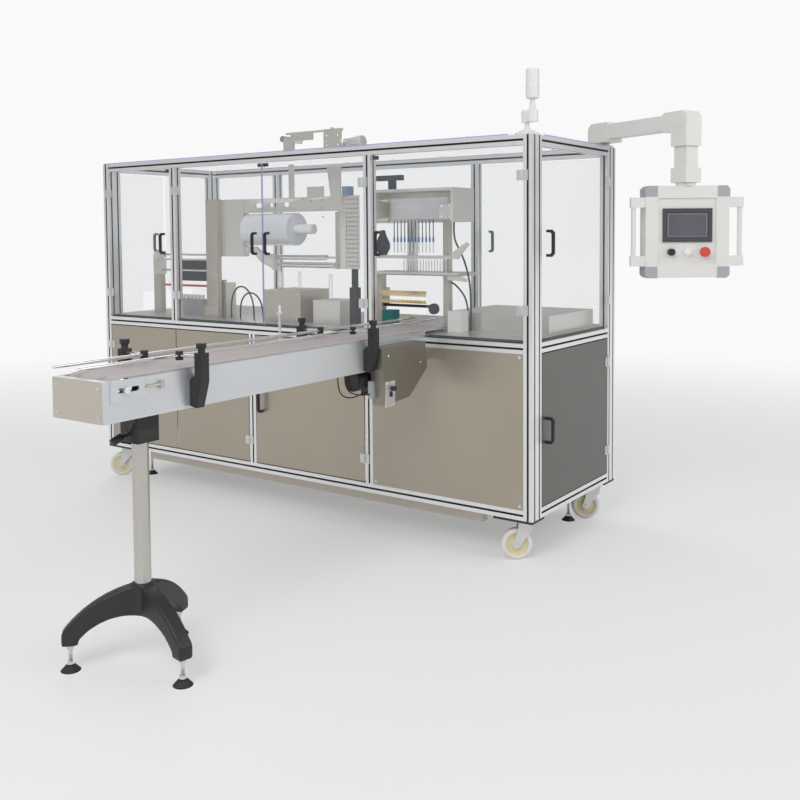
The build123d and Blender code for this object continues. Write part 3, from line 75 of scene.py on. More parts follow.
# The camera, as the photograph was taken
cameraView = {
    "place": (4240.25, -3290.31, 1307.52),
    "turn": 35.02,
    "down": 3.0,
    "roll": -0.41,
    "lens": 42.92,
    "sensor": 36.0,
    "shiftY": -0.146,
    "clip": 60,
}
cameraData = bpy.data.cameras.new("camera")
camera = addObject("camera", cameraData)
cameraData.sensor_width = cameraView["sensor"]
cameraData.lens = cameraView["lens"]
cameraData.shift_y = cameraView["shiftY"]
cameraData.clip_end = cameraView["clip"]
camera.matrix_world = (
    Matrix.Translation(place(*cameraView["place"]))
    @ Matrix.Rotation(radians(cameraView["turn"]), 4, "Z")
    @ Matrix.Rotation(radians(90 - cameraView["down"]), 4, "X")
    @ Matrix.Rotation(radians(cameraView["roll"]), 4, "Z")
)
bpy.context.scene.camera = camera
bpy.context.scene.view_settings.view_transform = "Standard"
print("camera set")


# The motor's two leads, on the same points as the solids
leads = {
    "radius": 0.0025,
    "motor_lead_1": (
        (2017.0, -528.0, 781.0), (2017.0, -528.0, 732.0), (2017.0, -500.0, 694.0), (2017.0, -440.0, 680.0),
        (2017.0, -386.0, 688.0), (2017.0, -330.0, 688.0),
    ),
    "motor_lead_2": (
        (1990.0, -452.0, 781.0), (1990.0, -452.0, 738.0), (2008.0, -452.0, 706.0), (2040.0, -452.0, 698.0),
        (2070.0, -428.0, 694.0), (2070.0, -400.0, 694.0),
    ),
}
# Air hoses inside the guard, which show through the doors beside the column and over the belt
hoses = {
    "radius": 0.004,
    "hose_column_1": (
        (800.0, 140.0, 886.0), (800.0, 140.0, 950.0), (812.0, 140.0, 1010.0), (850.0, 140.0, 1050.0),
        (902.0, 140.0, 1046.0), (940.0, 142.0, 1000.0), (952.0, 144.0, 940.0), (952.0, 144.0, 886.0),
    ),
    "hose_column_2": (
        (846.0, 156.0, 886.0), (846.0, 156.0, 940.0), (862.0, 156.0, 992.0), (908.0, 156.0, 1022.0),
        (962.0, 156.0, 1008.0), (998.0, 156.0, 960.0), (1004.0, 156.0, 886.0),
    ),
    "hose_belt_1": (
        (2150.0, 222.0, 886.0), (2150.0, 222.0, 990.0), (2146.0, 222.0, 1090.0), (2122.0, 222.0, 1180.0),
        (2088.0, 224.0, 1240.0), (2060.0, 226.0, 1290.0), (2056.0, 238.0, 1354.0),
    ),
    "hose_belt_2": (
        (2128.0, 240.0, 886.0), (2128.0, 240.0, 960.0), (2112.0, 240.0, 1030.0), (2076.0, 240.0, 1070.0),
        (2046.0, 244.0, 1090.0), (2033.5, 246.0, 1092.0),
    ),
}

# Smooth lines; the small radius of their points keeps a line's box no wider than the line
lineLook = {"pointRadius": 0.01, "round": 4, "steps": 10, "order": 3}


def splineObject(name, points, radius):
    curve = bpy.data.curves.new(name, "CURVE")
    curve.dimensions = "3D"
    curve.bevel_depth = radius / lineLook["pointRadius"]
    curve.bevel_resolution = lineLook["round"]
    curve.resolution_u = lineLook["steps"]
    curve.use_fill_caps = True
    spline = curve.splines.new("NURBS")
    spline.points.add(len(points) - 1)
    for point, at in zip(spline.points, points):
        point.co = (*place(*at), 1)
        point.radius = lineLook["pointRadius"]
    spline.order_u = lineLook["order"]
    spline.use_endpoint_u = True
    return addObject(name, curve)


def lineLength(made):
    # length of the curve's own line, read with its thickness off
    curve = made.data
    depth = curve.bevel_depth
    curve.bevel_depth = 0
    mesh = shownMesh(made)
    pairs = (edge.vertices for edge in mesh.edges)
    total = sum((mesh.vertices[a].co - mesh.vertices[b].co).length for a, b in pairs)
    bpy.data.meshes.remove(mesh)
    curve.bevel_depth = depth
    return total


cordObjects = []
for group in (leads, hoses):
    for name, points in group.items():
        if name == "radius":
            continue
        line = splineObject(name + "_line", points, group["radius"])
        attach(line, "machine")
        if name in nodes:
            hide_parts(name)
        place(*points[0])
        round(lineLength(line), 4)
        cordObjects.append(line)
print("leads and hoses laid")


# Shader groups shared by the finishes
def newGroup(name, inputs, outputs):
    tree = bpy.data.node_groups.new(name, "ShaderNodeTree")
    for label, kind, value in inputs:
        socket = tree.interface.new_socket(name=label, in_out="INPUT", socket_type=kind)
        socket.default_value = value
    for label, kind in outputs:
        tree.interface.new_socket(name=label, in_out="OUTPUT", socket_type=kind)
    return tree, tree.nodes.new("NodeGroupInput"), tree.nodes.new("NodeGroupOutput")


def addNode(tree, kind, inputs=None, **settings):
    # a node with its settings; each input is a value or another node's output
    node = tree.nodes.new(kind)
    for label, value in settings.items():
        setattr(node, label, value)
    for label, value in (inputs or {}).items():
        if isinstance(value, bpy.types.NodeSocket):
            tree.links.new(value, node.inputs[label])
        else:
            node.inputs[label].default_value = value
    return node


def mathNode(tree, operation, first, second):
    return addNode(tree, "ShaderNodeMath", {0: first, 1: second}, operation=operation).outputs[0]


def noiseNode(tree, at, scale, detail):
    inputs = {"Vector": at, "Scale": scale, "Detail": detail}
    return addNode(tree, "ShaderNodeTexNoise", inputs).outputs["Fac"]


def endGroup(tree, source, result, change, rough, height):
    # the outputs of a group: its colour times one plus the change, the roughness and the height
    shaded = addNode(tree, "ShaderNodeVectorMath", {
        0: source.outputs["Colour"], "Scale": mathNode(tree, "ADD", change, 1.0),
    }, operation="SCALE")
    tree.links.new(shaded.outputs[0], result.inputs["Colour"])
    tree.links.new(rough, result.inputs["Roughness"])
    tree.links.new(height, result.inputs["Height"])
    return tree


noise = {
    "streakScale": 1, "streakDetail": 3, "patchScale": 2.6, "patchDetail": 2,
    "fineDetail": 1, "dustScale": 7, "dustDetail": 3,
}
grainOutputs = [
    ("Colour", "NodeSocketColor"), ("Roughness", "NodeSocketFloat"), ("Height", "NodeSocketFloat"),
]


def buildGrain():
    # stretched streaks for brushed and drawn metal, with slow patches of wear over them
    tree, source, result = newGroup("metalGrain", [
        ("Colour", "NodeSocketColor", (0.6, 0.6, 0.6, 1)), ("Stretch", "NodeSocketVector", (40, 40, 400)),
        ("Contrast", "NodeSocketFloat", 0.08), ("Patches", "NodeSocketFloat", 0.05),
        ("Roughness", "NodeSocketFloat", 0.35), ("Spread", "NodeSocketFloat", 0.08),
    ], grainOutputs)
    at = tree.nodes.new("ShaderNodeTexCoord").outputs["Object"]
    stretched = addNode(
        tree, "ShaderNodeVectorMath", {0: at, 1: source.outputs["Stretch"]}, operation="MULTIPLY")
    streaks = noiseNode(tree, stretched.outputs[0], noise["streakScale"], noise["streakDetail"])
    patches = noiseNode(tree, at, noise["patchScale"], noise["patchDetail"])
    streak = mathNode(tree, "SUBTRACT", streaks, 0.5)
    patch = mathNode(tree, "SUBTRACT", patches, 0.5)
    change = mathNode(
        tree, "ADD", mathNode(tree, "MULTIPLY", streak, source.outputs["Contrast"]),
        mathNode(tree, "MULTIPLY", patch, source.outputs["Patches"]))
    spread = mathNode(tree, "MULTIPLY", streak, source.outputs["Spread"])
    rough = mathNode(tree, "ADD", spread, source.outputs["Roughness"])
    return endGroup(tree, source, result, change, rough, streaks)


def buildSpeckle():
    # fine even grain for moulded plastic, paint and rubber
    tree, source, result = newGroup("mouldedGrain", [
        ("Colour", "NodeSocketColor", (0.5, 0.5, 0.5, 1)), ("Scale", "NodeSocketFloat", 900),
        ("Dust", "NodeSocketFloat", 0.04), ("Roughness", "NodeSocketFloat", 0.5),
    ], grainOutputs)
    at = tree.nodes.new("ShaderNodeTexCoord").outputs["Object"]
    fine = noiseNode(tree, at, source.outputs["Scale"], noise["fineDetail"])
    slow = noiseNode(tree, at, noise["dustScale"], noise["dustDetail"])
    change = mathNode(tree, "MULTIPLY", mathNode(tree, "SUBTRACT", slow, 0.5), source.outputs["Dust"])
    rough = mathNode(tree, "ADD", change, source.outputs["Roughness"])
    return endGroup(tree, source, result, change, rough, fine)


metalGrain = buildGrain()
mouldedGrain = buildSpeckle()
bumpDepth = 0.0004
clearLook = {"scale": 30, "dust": 0.05, "ior": 1.49}


def startMaterial(name):
    material = bpy.data.materials.new(name)
    material.use_nodes = True
    return material, material.node_tree, material.node_tree.nodes["Principled BSDF"]


def wireGroup(tree, shader, group, values, bump):
    node = addNode(tree, "ShaderNodeGroup", values, node_tree=group)
    tree.links.new(node.outputs["Colour"], shader.inputs["Base Color"])
    tree.links.new(node.outputs["Roughness"], shader.inputs["Roughness"])
    if bump:
        relief = addNode(tree, "ShaderNodeBump", {
            "Strength": bump, "Distance": bumpDepth, "Height": node.outputs["Height"],
        })
        tree.links.new(relief.outputs["Normal"], shader.inputs["Normal"])


def metalFinish(name, colour, roughness, stretch, contrast, patches, metallic, spread=0.1):
    material, tree, shader = startMaterial(name)
    shader.inputs["Metallic"].default_value = metallic
    wireGroup(tree, shader, metalGrain, {
        "Colour": (*colour, 1), "Stretch": stretch, "Contrast": contrast, "Patches": patches,
        "Roughness": roughness, "Spread": spread,
    }, 0)
    return material


def mouldedFinish(name, colour, roughness, scale=900, dust=0.06, bump=0.08, coat=0.0):
    material, tree, shader = startMaterial(name)
    shader.inputs["Coat Weight"].default_value = coat
    wireGroup(tree, shader, mouldedGrain, {
        "Colour": (*colour, 1), "Scale": scale, "Dust": dust, "Roughness": roughness,
    }, bump)
    return material


def clearFinish(name, colour, alpha, roughness=0.04):
    material, tree, shader = startMaterial(name)
    wireGroup(tree, shader, mouldedGrain, {
        "Colour": (*colour, 1), "Scale": clearLook["scale"], "Dust": clearLook["dust"],
        "Roughness": roughness,
    }, 0)
    shader.inputs["Alpha"].default_value = alpha
    shader.inputs["IOR"].default_value = clearLook["ior"]
    return material


finishes = {
    "anodised": metalFinish("anodisedAluminium", (0.90, 0.905, 0.91), 0.38, (60, 60, 3), 0.05, 0.04, 0.7),
    "brushed": metalFinish("brushedStainless", (0.475, 0.428, 0.352), 0.38, (6, 6, 420), 0.14, 0.12, 0.75),
    # a dark copy of the brushed stainless, as painted shade
    "brushedDark": metalFinish(
        "brushedStainlessPaintedShade", (0.19, 0.185, 0.175), 0.40, (6, 6, 420), 0.16, 0.12, 0.8),
    # a half-dark copy of the brushed stainless, as painted shade
    "brushedMid": metalFinish("brushedStainlessPaintedHalfShade", (0.30, 0.28, 0.24), 0.40, (6, 6, 420), 0.16, 0.12, 0.8),
    "plate": metalFinish("plateStainless", (0.78, 0.755, 0.70), 0.32, (8, 420, 420), 0.10, 0.08, 0.65),
    "sidePlate": metalFinish("conveyorSide", (0.70, 0.72, 0.745), 0.34, (420, 5, 420), 0.10, 0.10, 0.6),
    "warmPlate": metalFinish("conveyorEndCap", (0.58, 0.54, 0.47), 0.36, (5, 420, 420), 0.12, 0.12, 0.6),
    "zinc": metalFinish("zincPlated", (0.74, 0.745, 0.75), 0.36, (120, 120, 120), 0.10, 0.10, 0.7),
    "tableSteel": metalFinish("tableSteel", (0.62, 0.59, 0.55), 0.28, (5, 300, 300), 0.12, 0.12, 0.6),
    "tube": metalFinish("drawnTube", (0.56, 0.54, 0.51), 0.26, (200, 200, 4), 0.08, 0.10, 0.85),
    "chrome": metalFinish("polishedSteel", (0.80, 0.80, 0.81), 0.12, (200, 30, 30), 0.04, 0.03, 1.0, 0.05),
    "brass": metalFinish("brassComb", (0.78, 0.58, 0.26), 0.28, (300, 60, 60), 0.10, 0.08, 1.0),
    "darkSteel": mouldedFinish("blackSteel", (0.035, 0.035, 0.037), 0.45, 500, 0.2),
    "blackPlastic": mouldedFinish("blackPlastic", (0.022, 0.022, 0.024), 0.42),
    "blackGloss": mouldedFinish("blackGloss", (0.015, 0.015, 0.018), 0.16, bump=0.0, coat=0.4),
    "bezelGrey": mouldedFinish("screenBezel", (0.07, 0.075, 0.085), 0.3, bump=0.02),
    # the insides of the profile slots, painted dark as painted shade
    "slotBlack": mouldedFinish("slotShadePaint", (0.03, 0.03, 0.032), 0.6),
    "rubber": mouldedFinish("blackRubber", (0.03, 0.03, 0.03), 0.7),
    "cream": mouldedFinish("creamPowderCoat", (0.80, 0.80, 0.775), 0.42, 700, 0.03, 0.05),
    "cornerGrey": mouldedFinish("greyCorner", (0.42, 0.44, 0.46), 0.45, 700, 0.04),
    "white": mouldedFinish("whitePlastic", (0.86, 0.86, 0.84), 0.3, 700, 0.03, 0.02),
    "nylon": mouldedFinish("whiteTyre", (0.84, 0.83, 0.79), 0.4, 500, 0.08),
    "hubCream": mouldedFinish("creamHub", (0.78, 0.70, 0.44), 0.4, 500, 0.1),
    "orange": mouldedFinish("orangeSeal", (0.78, 0.27, 0.04), 0.45),
    "belt": mouldedFinish("beltCover", (0.50, 0.46, 0.455), 0.62, 260, 0.10, 0.5),
    "film": mouldedFinish("woundFilm", (0.80, 0.82, 0.86), 0.18, 40, 0.08, 0.0, 0.6),
    "teal": mouldedFinish("tealPaint", (0.03, 0.22, 0.24), 0.4),
    "bluePaint": mouldedFinish("bluePaint", (0.20, 0.30, 0.45), 0.4),
    "redPaint": mouldedFinish("redPaint", (0.72, 0.085, 0.055), 0.38),
    "blueTip": mouldedFinish("blueTip", (0.04, 0.16, 0.60), 0.4),
    "screen": mouldedFinish("screenGlass", (0.13, 0.125, 0.15), 0.14, 40, 0.3, 0.0, 0.6),
    "screenPale": mouldedFinish("screenPale", (0.36, 0.37, 0.42), 0.2, 40, 0.02, 0.0, 0.4),
    "clear": clearFinish("clearAcrylic", (0.60, 0.66, 0.72), 0.07),
    "clearEdge": mouldedFinish("acrylicEdge", (0.47, 0.45, 0.78), 0.3, 60, 0.2, 0.0),
    "webFilm": clearFinish("clearFilm", (0.88, 0.90, 0.96), 0.34, 0.16),
}
print("finishes mixed:", len(finishes))

# Finish of each whole node
plainFinish = {
    "clear": (
        "roof_sheet", "fixed_panes", "upper_door_1", "upper_door_2", "upper_door_3", "upper_door_4",
        "right_upper_door", "end_door", "rear_door",
    ),
    "brushed": ("fixed_panels",),
    "zinc": ("frame_hinge_leaves", "caster_fork_1", "caster_fork_2", "caster_fork_3", "caster_fork_4"),
    "orange": ("caster_mounts",),
    "belt": ("conveyor_belt",),
    "chrome": ("guide_rods",),
    "blackPlastic": ("drive_motor",),
    "tube": ("stand_tube",),
    "white": ("signal_lamp",),
    "film": ("film_roll",),
    "brass": ("folding_combs",),
}
for label, names in plainFinish.items():
    for name in names:
        mesh = nodes[name].data
        mesh.materials.clear()
        mesh.materials.append(finishes[label])

seam = 0.00001          # points closer than this are one point


def mergedShape(node):
    shape = bmesh.new()
    shape.from_mesh(nodes[node].data)
    bmesh.ops.remove_doubles(shape, verts=shape.verts, dist=seam)
    return shape


def mergedCopy(node):
    shape = mergedShape(node)
    bmesh.ops.recalc_face_normals(shape, faces=shape.faces)
    return addObject(node + "_dressed", nodes[node].data.copy()), shape


def components(shape):
    # lists of faces that hang together
    shape.faces.index_update()
    seen = set()
    for start in shape.faces:
        if start.index in seen:
            continue
        seen.add(start.index)
        stack, found = [start], []
        while stack:
            face = stack.pop()
            found.append(face)
            for edge in face.edges:
                for other in edge.link_faces:
                    if other.index not in seen:
                        seen.add(other.index)
                        stack.append(other)
        yield found


def faceBox(faces):
    corners = [machineMm(vertex.co) for face in faces for vertex in face.verts]
    low = Vector([min(c[axis] for c in corners) for axis in range(3)])
    high = Vector([max(c[axis] for c in corners) for axis in range(3)])
    return low, high


def within(point, zone):
    return all(low <= value <= high for value, (low, high) in zip(point, zone))


# Angles in degrees: creases stay sharp, edges past the angle get a bevel
softEdges = {"crease": 32, "angle": 50, "segments": 2, "wideAngle": 40, "wideSegments": 3, "flat": 1}


def settle(made, shape, node, labels):
    # shape and finishes go onto the object, which then stands for the node
    made.data.materials.clear()
    for label in labels:
        made.data.materials.append(finishes[label])
    shape.to_mesh(made.data)
    shape.free()
    made.data.set_sharp_from_angle(angle=radians(softEdges["crease"]))
    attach(made, bodyOf[node])
    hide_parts(node)


def dress(node, default, byComponent=None, byFace=None, bevel=None, flatten=False):
    # a merged copy of the node with its own finishes, chosen by component or by face
    made, shape = mergedCopy(node)
    used = [default]

    def slotOf(label):
        if label not in used:
            used.append(label)
        return used.index(label)

    for faces in components(shape):
        low, high = faceBox(faces)
        label = (byComponent(low, high) if byComponent else None) or default
        for face in faces:
            own = byFace(machineMm(face.calc_center_median()), face.normal, low, high) if byFace else None
            face.material_index = slotOf(own or label)
            face.smooth = True
    if flatten:     # whole flat faces, so that a wide bevel runs clean
        bmesh.ops.dissolve_limit(
            shape, angle_limit=radians(softEdges["flat"]), verts=shape.verts, edges=shape.edges,
            delimit={"MATERIAL"})
    if bevel:
        edge = made.modifiers.new("softEdges", "BEVEL")
        edge.width = bevel
        edge.limit_method = "ANGLE"
        edge.segments = softEdges["wideSegments" if flatten else "segments"]
        edge.angle_limit = radians(softEdges["wideAngle" if flatten else "angle"])
        edge.harden_normals = flatten
    settle(made, shape, node, used)


def zoned(zones):
    # finish of a component whose middle lies in a zone, each zone an x, y and z span in millimetres
    def choose(low, high):
        middle = (low + high) / 2
        for label, zone in zones:
            if within(middle, zone):
                return label
        return None

    return choose


# The conveyor's end cap is warmer than the side plates that it hangs together with
endCap = {"from": -1616}


def capFace(middle, normal, low, high):
    return "warmPlate" if middle.y < endCap["from"] else None


# Nodes of several pieces, each piece finished by the zone that its middle lies in
anyY = (-3000, 3000)
dressedNodes = {
    "film_frame": {
        "default": "plate",
        "zones": [
            ("blackPlastic", ((1538, 1577), anyY, (880, 1145))),
            ("bluePaint", ((1495, 1540), anyY, (1482, 1530))),
            ("chrome", ((1260, 1290), (165, 180), (1150, 1205))),
            ("white", ((1080, 1120), (160, 180), (1320, 1340))),
            ("warmPlate", ((640, 735), (110, 151), (880, 1490))),
        ],
        "bevel": 0.0006,
    },
    "folding_frame": {
        "default": "plate",
        "zones": [
            ("blackPlastic", ((1700, 1730), (165, 195), (1212, 1330))),
            ("teal", ((1700, 1745), (200, 262), (886, 965))),
            ("white", ((2080, 2140), (150, 216), (886, 980))),
            ("blackPlastic", ((1620, 1765), (255, 290), (1502, 1575))),
            ("warmPlate", ((1640, 2035), (228, 262), (880, 1360))),
            ("chrome", ((1660, 2090), (185, 195), (1360, 1470))),
            ("chrome", ((1820, 2060), (178, 182), (1137, 1196))),
            ("blackPlastic", ((1800, 1880), (205, 225), (930, 1000))),
            ("zinc", ((2036, 2096), (150, 160), (1360, 1430))),
        ],
        "bevel": 0.0005,
    },
    "table_boxes": {
        "default": "plate",
        "zones": [
            ("redPaint", ((80, 620), (262, 275), (1025, 1045))),
            ("chrome", ((380, 410), (195, 250), (1110, 1210))),
            ("blackPlastic", ((327, 510), (230, 265), (1060, 1180))),
            ("white", ((327, 510), (230, 260), (966, 990))),
            ("cornerGrey", ((327, 510), (220, 265), (886, 966))),
            ("brass", ((680, 700), (190, 210), (1061, 1080))),
            ("chrome", ((1080, 1425), (178, 188), (1000, 1130))),
            ("warmPlate", ((110, 180), (225, 265), (880, 1210))),
            ("warmPlate", ((1050, 1290), (100, 340), (886, 1045))),
        ],
        "bevel": 0.0008,
    },
    "roof_unit": {
        "default": "plate",
        "zones": [
            ("zinc", ((1400, 1500), (290, 370), (1700, 1775))),
            ("chrome", ((1000, 1104), (290, 440), (1760, 1800))),
            ("darkSteel", ((1030, 1500), (265, 425), (1689, 1697))),
        ],
        "bevel": 0.0008,
    },
    "conveyor_frame": {
        "default": "sidePlate",
        "zones": [
            ("chrome", ((1930, 1970), (-1560, -1530), (860, 880))),
            ("warmPlate", ((1820, 1837), (-1600, -1400), (820, 905))),
            ("warmPlate", ((2061, 2080), (-1600, -1400), (820, 905))),
        ],
        "byFace": capFace,
        "bevel": 0.0006,
    },
    "drive_box": {
        # a darker copy of the brushed steel, as painted shade
        "default": "brushedMid",
        "zones": [
            ("zinc", ((2121, 2127), (-380, -300), (640, 745))),
            ("blackPlastic", ((2126, 2150), (-360, -320), (680, 730))),
            ("cornerGrey", ((2060, 2080), (-402, -370), (670, 745))),
        ],
        "bevel": 0.001,
    },
    "guide_brackets": {
        "default": "blackPlastic",
        "zones": [("zinc", ((1800, 1840), (-650, -610), (860, 1050)))],
        "bevel": 0.001,
    },
}
for node, look in dressedNodes.items():
    dress(node, look["default"], zoned(look["zones"]), look.get("byFace"), look["bevel"])

# Stand castings: the hub and its legs as one softly rounded casting, the collar with crisp edges
castingLook = {
    "top": 400, "voxel": 0.0032, "smooth": 0.8, "rounds": 20, "collarEdge": 0.0015, "collarAngle": 50,
}


def roundCastings(node):
    made, shape = mergedCopy(node)
    legsAndHub = [faces for faces in components(shape) if faceBox(faces)[1].z < castingLook["top"]]
    lower = {face.index for faces in legsAndHub for face in faces}
    cast = shape.copy()
    cast.faces.index_update()
    bmesh.ops.delete(cast, geom=[face for face in cast.faces if face.index not in lower], context="FACES")
    bmesh.ops.delete(shape, geom=[face for face in shape.faces if face.index in lower], context="FACES")
    crisp = [line for line in shape.edges if line.calc_face_angle(0) > radians(castingLook["collarAngle"])]
    bmesh.ops.bevel(
        shape, geom=crisp, offset=castingLook["collarEdge"], segments=2, affect="EDGES", clamp_overlap=True)
    rough = bpy.data.meshes.new("casting_rough")
    cast.to_mesh(rough)
    cast.free()
    carrier = addObject("casting_rough", rough)
    remesh = carrier.modifiers.new("remesh", "REMESH")
    remesh.mode = "VOXEL"
    remesh.voxel_size = castingLook["voxel"]
    soften = carrier.modifiers.new("soften", "SMOOTH")
    soften.factor = castingLook["smooth"]
    soften.iterations = castingLook["rounds"]
    rounded = shownMesh(carrier)
    bpy.data.objects.remove(carrier)
    shape.from_mesh(rounded)
    bpy.data.meshes.remove(rounded)
    for face in shape.faces:
        face.smooth = True
        face.material_index = 0
    settle(made, shape, node, ["blackPlastic"])


roundCastings("stand_castings")

# The two long beams of the base are bare steel, its plates and brackets dark
beamLook = {"shortest": 1200}


def beamFinish(low, high):
    return "warmPlate" if high.x - low.x > beamLook["shortest"] else None


dress("base_frame", "darkSteel", beamFinish, bevel=0.001)
for node, rounding in (("arm_base", 0.006), ("arm_tubes", 0.008), ("panel_grips", 0.004)):
    dress(node, "cream", bevel=rounding, flatten=True)

# Door fittings: zinc leaves and black handles; steel doors carry both on their own node
fittingHeights = {"leaf": 90, "handle": 200}
steelDoors = {
    "lower_door_1": "brushed", "lower_door_2": "brushed", "lower_door_3": "brushed",
    # the right lower door takes the dark copy of the brushed steel, as painted shade
    "right_lower_door": "brushedDark",
}


def fittingFinish(low, high):
    tall = high.z - low.z
    if fittingHeights["leaf"] < tall < fittingHeights["handle"]:
        return "blackPlastic"
    return "zinc" if tall < fittingHeights["leaf"] else None


fittingNodes = [name for name in nodes if name.endswith("_fittings")]
for node in fittingNodes:
    dress(node, "zinc", fittingFinish, bevel=0.0006)
for node, label in steelDoors.items():
    dress(node, label, fittingFinish, bevel=0.0006)


def tableEdge(middle, normal, low, high):
    return "tableSteel" if abs(normal.z) > 0.5 else "blackPlastic"


dress("table_plate", "tableSteel", byFace=tableEdge)

# Slotted profiles: the insides of the slots are painted dark, as painted shade in the recesses
profileLook = {"skin": 0.5}


def slotInside(middle, normal, low, high):
    size = high - low
    along = max(range(3), key=lambda axis: size[axis])
    depth = min(
        min(middle[axis] - low[axis], high[axis] - middle[axis]) for axis in range(3) if axis != along)
    return "slotBlack" if depth > profileLook["skin"] and abs(normal[along]) < 0.5 else "anodised"


for node in ("posts", "top_rails", "middle_rails", "bottom_rails"):
    dress(node, "anodised", byFace=slotInside)

footFinish = {"pad": 20}


def footPart(low, high):
    return "rubber" if high.z < footFinish["pad"] else "zinc"


dress("levelling_feet", "zinc", footPart)

# Casters, all pointing the same way: steel middle, cream hub, white tyre
wheelRings = {"steel": 17.5, "cream": 46.5}
casterTurn = radians(-145)
wheelAxis = Vector((-sin(casterTurn), cos(casterTurn), 0))
for number in range(1, 5):
    node = f"caster_wheel_{number}"
    first, last = (machineMm(point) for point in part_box(node))
    centre = (first + last) / 2

    def wheelRing(middle, normal, low, high):
        spoke = middle - centre
        spoke -= wheelAxis * spoke.dot(wheelAxis)
        if spoke.length < wheelRings["steel"]:
            return "zinc"
        return "hubCream" if spoke.length < wheelRings["cream"] else "nylon"

    dress(node, "nylon", byFace=wheelRing)

# Control panel: grey corner pieces on a cream box, and its face
panelPlace = {
    "x": 2969.3, "y": 538.0, "turn": 35.0, "corner": 122, "cornerTall": 45,
    "bezelTall": 120, "screenTall": 60, "stop": 40, "stopTall": 35, "white": -20,
}
panelTurn = radians(panelPlace["turn"])
panelCentre = Vector((panelPlace["x"], panelPlace["y"], 0))
panelAcross = Vector((cos(panelTurn), sin(panelTurn), 0))
panelLowest, panelHighest = (machineMm(point).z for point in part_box("control_panel"))


def panelPart(middle, normal, low, high):
    # a corner piece lies far out both across and up the face
    along = (middle - panelCentre).dot(panelAcross)
    rise = abs(middle.z - (panelLowest + panelHighest) / 2)
    farUp = rise > (panelHighest - panelLowest) / 2 - panelPlace["cornerTall"]
    return "cornerGrey" if farUp and abs(along) > panelPlace["corner"] else "cream"


def facePart(low, high):
    along = ((low + high) / 2 - panelCentre).dot(panelAcross)
    tall = high.z - low.z
    if tall > panelPlace["bezelTall"]:
        return "bezelGrey"
    if tall > panelPlace["screenTall"]:
        return "screen"
    if along > panelPlace["stop"]:
        return "redPaint" if tall > panelPlace["stopTall"] else "zinc"
    return "white" if along > panelPlace["white"] else "blackPlastic"


dress("control_panel", "cream", byFace=panelPart, bevel=0.003, flatten=True)
dress("panel_face", "blackGloss", facePart, bevel=0.0008)
print("nodes dressed")


def startTree(name, inputs):
    tree = bpy.data.node_groups.new(name, "GeometryNodeTree")
    tree.interface.new_socket(name="Geometry", in_out="INPUT", socket_type="NodeSocketGeometry")
    for label, kind, value in inputs:
        socket = tree.interface.new_socket(name=label, in_out="INPUT", socket_type=kind)
        if value is not None:
            socket.default_value = value
    tree.interface.new_socket(name="Geometry", in_out="OUTPUT", socket_type="NodeSocketGeometry")
    return tree, tree.nodes.new("NodeGroupInput"), tree.nodes.new("NodeGroupOutput")


def endTree(tree, source, result, instance, rotation=None):
    # the instance on every point, made real, with its finish
    inputs = {"Points": source.outputs["Geometry"], "Instance": instance}
    if rotation is not None:
        inputs["Rotation"] = rotation
    onPoints = addNode(tree, "GeometryNodeInstanceOnPoints", inputs)
    real = addNode(tree, "GeometryNodeRealizeInstances", {0: onPoints.outputs["Instances"]})
    painted = addNode(tree, "GeometryNodeSetMaterial", {
        "Geometry": real.outputs[0], "Material": source.outputs["Finish"],
    })
    tree.links.new(painted.outputs[0], result.inputs[0])
    return tree


def shifted(tree, mesh, rise):
    lift = addNode(tree, "ShaderNodeCombineXYZ", {"Z": rise})
    moved = addNode(tree, "GeometryNodeTransform", {"Geometry": mesh, "Translation": lift.outputs[0]})
    return moved.outputs["Geometry"]


# Small domed screws, set on points by Geometry Nodes
screwLook = {"sides": 14, "crown": 0.55, "crownHeight": 0.5}


def buildScrewTree():
    tree, source, result = startTree("domedScrews", [
        ("Radius", "NodeSocketFloat", 0.004), ("Height", "NodeSocketFloat", 0.0015),
        ("Finish", "NodeSocketMaterial", None),
    ])
    radius, height = source.outputs["Radius"], source.outputs["Height"]
    head = addNode(tree, "GeometryNodeMeshCylinder", {
        "Vertices": screwLook["sides"], "Radius": radius, "Depth": height,
    })
    low = mathNode(tree, "MULTIPLY", height, screwLook["crownHeight"])
    crown = addNode(tree, "GeometryNodeMeshCone", {
        "Vertices": screwLook["sides"], "Radius Bottom": radius, "Depth": low,
        "Radius Top": mathNode(tree, "MULTIPLY", radius, screwLook["crown"]),
    })
    joined = addNode(tree, "GeometryNodeJoinGeometry", {0: head.outputs["Mesh"]})
    tree.links.new(shifted(tree, crown.outputs["Mesh"], low), joined.inputs[0])
    facing = addNode(tree, "GeometryNodeInputNamedAttribute", {"Name": "facing"}, data_type="FLOAT_VECTOR")
    align = addNode(tree, "FunctionNodeAlignEulerToVector", {"Vector": facing.outputs["Attribute"]}, axis="Z")
    return endTree(tree, source, result, joined.outputs[0], align.outputs["Rotation"])


screwTree = buildScrewTree()


def pointsMesh(name, points, facings):
    mesh = bpy.data.meshes.new(name)
    mesh.from_pydata(points, [], [])
    attribute = mesh.attributes.new("facing", "FLOAT_VECTOR", "POINT")
    for item, facing in zip(attribute.data, facings):
        item.vector = facing
    return mesh


def runTree(name, mesh, tree, values, body):
    # runs the tree on the mesh once and keeps the result as a plain mesh riding on its body
    carrier = addObject(name + "_points", mesh)
    modifier = carrier.modifiers.new("build", "NODES")
    modifier.node_group = tree
    sockets = {item.name: item.identifier for item in tree.interface.items_tree if item.in_out == "INPUT"}
    for label, value in values.items():
        modifier[sockets[label]] = value
    result = shownMesh(carrier)
    bpy.data.objects.remove(carrier)
    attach(addObject(name, result), body)


